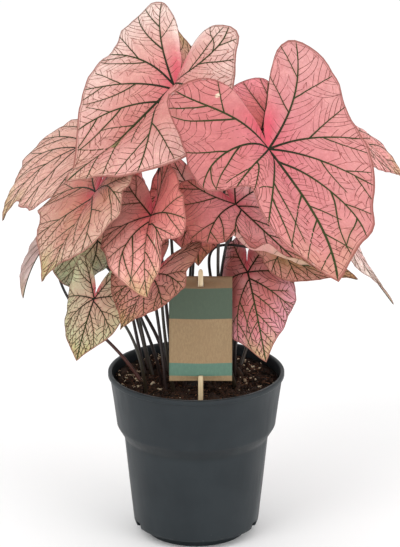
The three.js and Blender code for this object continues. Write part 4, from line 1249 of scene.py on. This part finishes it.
# %% [markdown]
# ## Card and stick
# A sheet of kraft card with two printed bands, woven on a flat wooden stick through two slots. The
# stick runs in front of the card at its top and bottom strips, and behind it in the middle. So the
# card bows back at both ends and forward between the slots, most of all near the stick.

# %% Card and stick: the card
CARD = {"width": 49, "bottom": 143, "top": 229, "thickness": 0.45, "x": 3.5, "y": -47}
WEAVE = {"bow": 1.3, "bend": 4, "upper": 223, "lower": 146.2, "slot": 4.0}
CELL = 1.2  # height of a cell of the card's grid
# for each side of a cell: the way to the cell beyond it, and the two corners, as steps along the grid
CELL_SIDES = (((-1, 0), (0, 0), (0, 1)), ((1, 0), (1, 1), (1, 0)),
              ((0, -1), (1, 0), (0, 0)), ((0, 1), (0, 1), (1, 1)))


def bow(height):
    """How far the card lies behind its middle plane at a height, next to the stick."""
    half = WEAVE["bend"] / 2
    upper = smooth(height, WEAVE["upper"] - half, WEAVE["upper"] + half)
    lower = 1 - smooth(height, WEAVE["lower"] - half, WEAVE["lower"] + half)
    return WEAVE["bow"] * (2 * np.maximum(upper, lower) - 1)


def card():
    """A grid over the card's face, front and back, with the cells of the two slots left out and
    walls round every open edge."""
    half, slot = CARD["width"] / 2, WEAVE["slot"] / 2
    x = np.concatenate([np.linspace(-half, -slot, 15), np.linspace(-slot, slot, 4)[1:],
                        np.linspace(slot, half, 15)[1:]])
    bends = (WEAVE[way] + side * WEAVE["bend"] / 2 for way in ("lower", "upper") for side in (-1, 1))
    stops = [CARD["bottom"], *bends, CARD["top"]]
    z = [np.linspace(a, b, max(3, int((b - a) / CELL))) for a, b in zip(stops, stops[1:])]
    z = np.unique(np.concatenate(z).round(4))
    across, up = np.meshgrid(x, z, indexing="ij")
    bulge = bow(up) * np.exp(-(across / 16) ** 2) + 0.5 * (across / half) ** 2
    middle = np.stack([across + CARD["x"], CARD["y"] + bulge, up], -1).reshape(-1, 3)
    keep = np.ones((len(x) - 1, len(z) - 1), bool)
    cell_x, cell_z = (x[:-1] + x[1:]) / 2, (z[:-1] + z[1:]) / 2
    for height in (WEAVE["lower"], WEAVE["upper"]):
        keep &= ~((np.abs(cell_x)[:, None] < slot) & (np.abs(cell_z - height)[None] < WEAVE["bend"] / 2))
    padded, number, walls = np.pad(keep, 1), np.arange(len(middle)).reshape(across.shape), []
    for (dx, dz), (ax, az), (bx, bz) in CELL_SIDES:
        beyond = padded[1 + dx:1 + dx + len(keep), 1 + dz:1 + dz + keep.shape[1]]
        i, j = np.nonzero(keep & ~beyond)
        a, b = number[i + ax, j + az], number[i + bx, j + bz]
        walls.append(np.stack([a, b, b + len(middle), a + len(middle)], -1))
    front = grid_faces(len(x), len(z)).reshape(*keep.shape, 4)[keep]
    side = np.array([0, CARD["thickness"] / 2, 0])
    points = np.concatenate([middle - side, middle + side])
    return points, [front, front[:, ::-1] + len(middle), np.concatenate(walls)]


def card_finish():
    """Kraft card with fibres and faint clouds: a darker strip on top, a dark green band under it
    and a light green band near the foot."""
    r = Recipe("kraft card")
    height = r.add("SeparateXYZ", output=2, Vector=r.place())
    fibre = r.noise(r.place(), 1.2, detail=6, roughness=0.7, stretch=(1, 1, 0.4))
    cloud = r.noise(r.place(), 18, detail=3)
    kraft = r.mix(r.ramp(fibre, 0.35, 0.7), (0.265, 0.175, 0.088), (0.345, 0.238, 0.126))
    kraft = r.mix(r.ramp(cloud, 0.3, 0.7, 0, 0.3), kraft, (0.30, 0.19, 0.095))
    dark = r.mix(r.ramp(fibre, 0.35, 0.75), (0.061, 0.092, 0.060), (0.080, 0.116, 0.078))
    light = r.mix(r.ramp(fibre, 0.35, 0.75), (0.085, 0.175, 0.126), (0.113, 0.215, 0.160))

    def between(low, high):
        rise = r.ramp(height, (low - 0.08) * MM, (low + 0.08) * MM)
        return r.times(rise, r.ramp(height, (high - 0.08) * MM, (high + 0.08) * MM, 1, 0))

    base = r.mix(r.ramp(height, 219.5 * MM, 219.7 * MM), kraft, r.mix(0.55, kraft, (0.12, 0.055, 0.022)))
    base = r.mix(between(194.6, 219.7), base, dark)
    base = r.mix(between(147.6, 158.2), base, light)
    return r.finish(Base_Color=base, Roughness=r.ramp(fibre, 0.3, 0.7, 0.6, 0.8),
                    Normal=r.bump(fibre, 0.06))


# %% [markdown]
# The stick's section lies between an oval and a rectangle, so its edges are soft.

# %% Card and stick: the stick
STICK = {"width": 3.9, "thickness": 1.2, "foot": 98, "top": 235, "round": 3.2}
STICK_SIDES = 24
SQUARENESS = 0.35  # 1 gives an oval section, and 0 a sharp rectangle


def stick():
    """A flat stick: a rounded-rectangle section from a blunt foot to a round upper end."""
    foot, shoulder = STICK["foot"], STICK["top"] - STICK["round"]
    heights = np.concatenate([[foot, foot + 0.4], np.linspace(foot + 2, shoulder - 0.2, 60),
                              shoulder + STICK["round"] * np.sin(np.linspace(0.1, 1.5, 8))])
    over = np.clip((heights - shoulder) / STICK["round"], 0, 1)
    half = STICK["width"] / 2 * np.sqrt(np.maximum(1 - over ** 2, 0.004))
    half = half * np.where(heights < foot + 0.2, 0.7, 1)
    thick = STICK["thickness"] / 2 * np.where(over > 0.97, 0.8, 1)
    turn = round_turn(STICK_SIDES)
    circle = np.stack([np.cos(turn), np.sin(turn)], -1)
    section = np.sign(circle) * np.abs(circle) ** SQUARENESS
    sections = section * np.stack([half, thick], -1)[:, None]
    centres = np.stack([np.full(len(heights), CARD["x"]), np.full(len(heights), CARD["y"]), heights], -1)
    return tubes(centres[None], np.tile((0.0, -1.0, 0.0), (1, len(heights), 1)), sections[None])


def stick_finish():
    """Pale wood with fine upright lines."""
    r = Recipe("stick wood")
    line = r.noise(r.place(), 0.6, detail=5, stretch=(1, 1, 0.03))
    base = r.mix(r.ramp(line, 0.35, 0.65), (0.62, 0.47, 0.27), (0.80, 0.67, 0.45))
    base = r.mix(r.ramp(r.noise(r.place(), 9), 0.4, 0.7, 0, 0.3), base, (0.60, 0.42, 0.22))
    return r.finish(Base_Color=base, Roughness=0.62, Normal=r.bump(line, 0.06))


plain_piece("card_sheet", card(), card_finish(), "tag_card")
plain_piece("card_stick", stick(), stick_finish(), "tag_stick")

# %% [markdown]
# ## Floor and light
# A plain pale floor, a wide disc that reaches far beyond the plant on every side. A large soft light
# stands above the front left, a weaker one to the right, and the white surroundings fill the rest.

# %% Floor and light
FLOOR_RADIUS, FLOOR_RINGS, FLOOR_COLUMNS = 8.0, 24, 96  # the radius in metres
LIT_POINT = (0, 0, 0.2)


def floor_disc():
    """Circles about the middle, each further out than the last."""
    turn = round_turn(FLOOR_COLUMNS)
    far = FLOOR_RADIUS * np.linspace(0.05, 1, FLOOR_RINGS)[:, None] ** 2
    points = np.stack([far * np.cos(turn), far * np.sin(turn), 0 * far * turn], -1).reshape(-1, 3)
    faces = grid_faces(FLOOR_RINGS, FLOOR_COLUMNS, ring=True).tolist()
    faces += fan(len(points), np.arange(FLOOR_COLUMNS)).tolist()
    mesh = bpy.data.meshes.new("floor")
    mesh.from_pydata([*points.tolist(), (0, 0, 0)], [], faces)
    r = Recipe("floor")
    clouds = r.mix(r.noise(r.place(), 300), (0.92, 0.92, 0.92), (0.94, 0.94, 0.94))
    mesh.materials.append(r.finish(Base_Color=clouds, Roughness=0.9))
    made = bpy.data.objects.new("floor", mesh)
    bpy.context.scene.collection.objects.link(made)


def lamp(name, place, size, power):
    """A round soft light that faces the lit point."""
    made = bpy.data.objects.new(name, bpy.data.lights.new(name, "AREA"))
    made.data.shape, made.data.size, made.data.energy = "DISK", size, power
    bpy.context.scene.collection.objects.link(made)
    made.location = place
    aim = np.array(LIT_POINT) - np.array(place)
    tipped = math.acos(-aim[2] / np.linalg.norm(aim))
    made.rotation_euler = (tipped, 0, math.atan2(aim[1], aim[0]) - math.pi / 2)


floor_disc()
lamp("soft light left", (-1.6, -1.8, 2.2), 1.8, 27)
lamp("soft light right", (1.9, -1.6, 1.4), 2.0, 20)
world = bpy.data.worlds.new("studio")
bpy.context.scene.world = world
world.use_nodes = True
world.node_tree.nodes["Background"].inputs[0].default_value = (1, 1, 1, 1)
world.node_tree.nodes["Background"].inputs[1].default_value = 1.0
bpy.context.scene.view_settings.view_transform = "Standard"
print("stage: a floor and two lights")
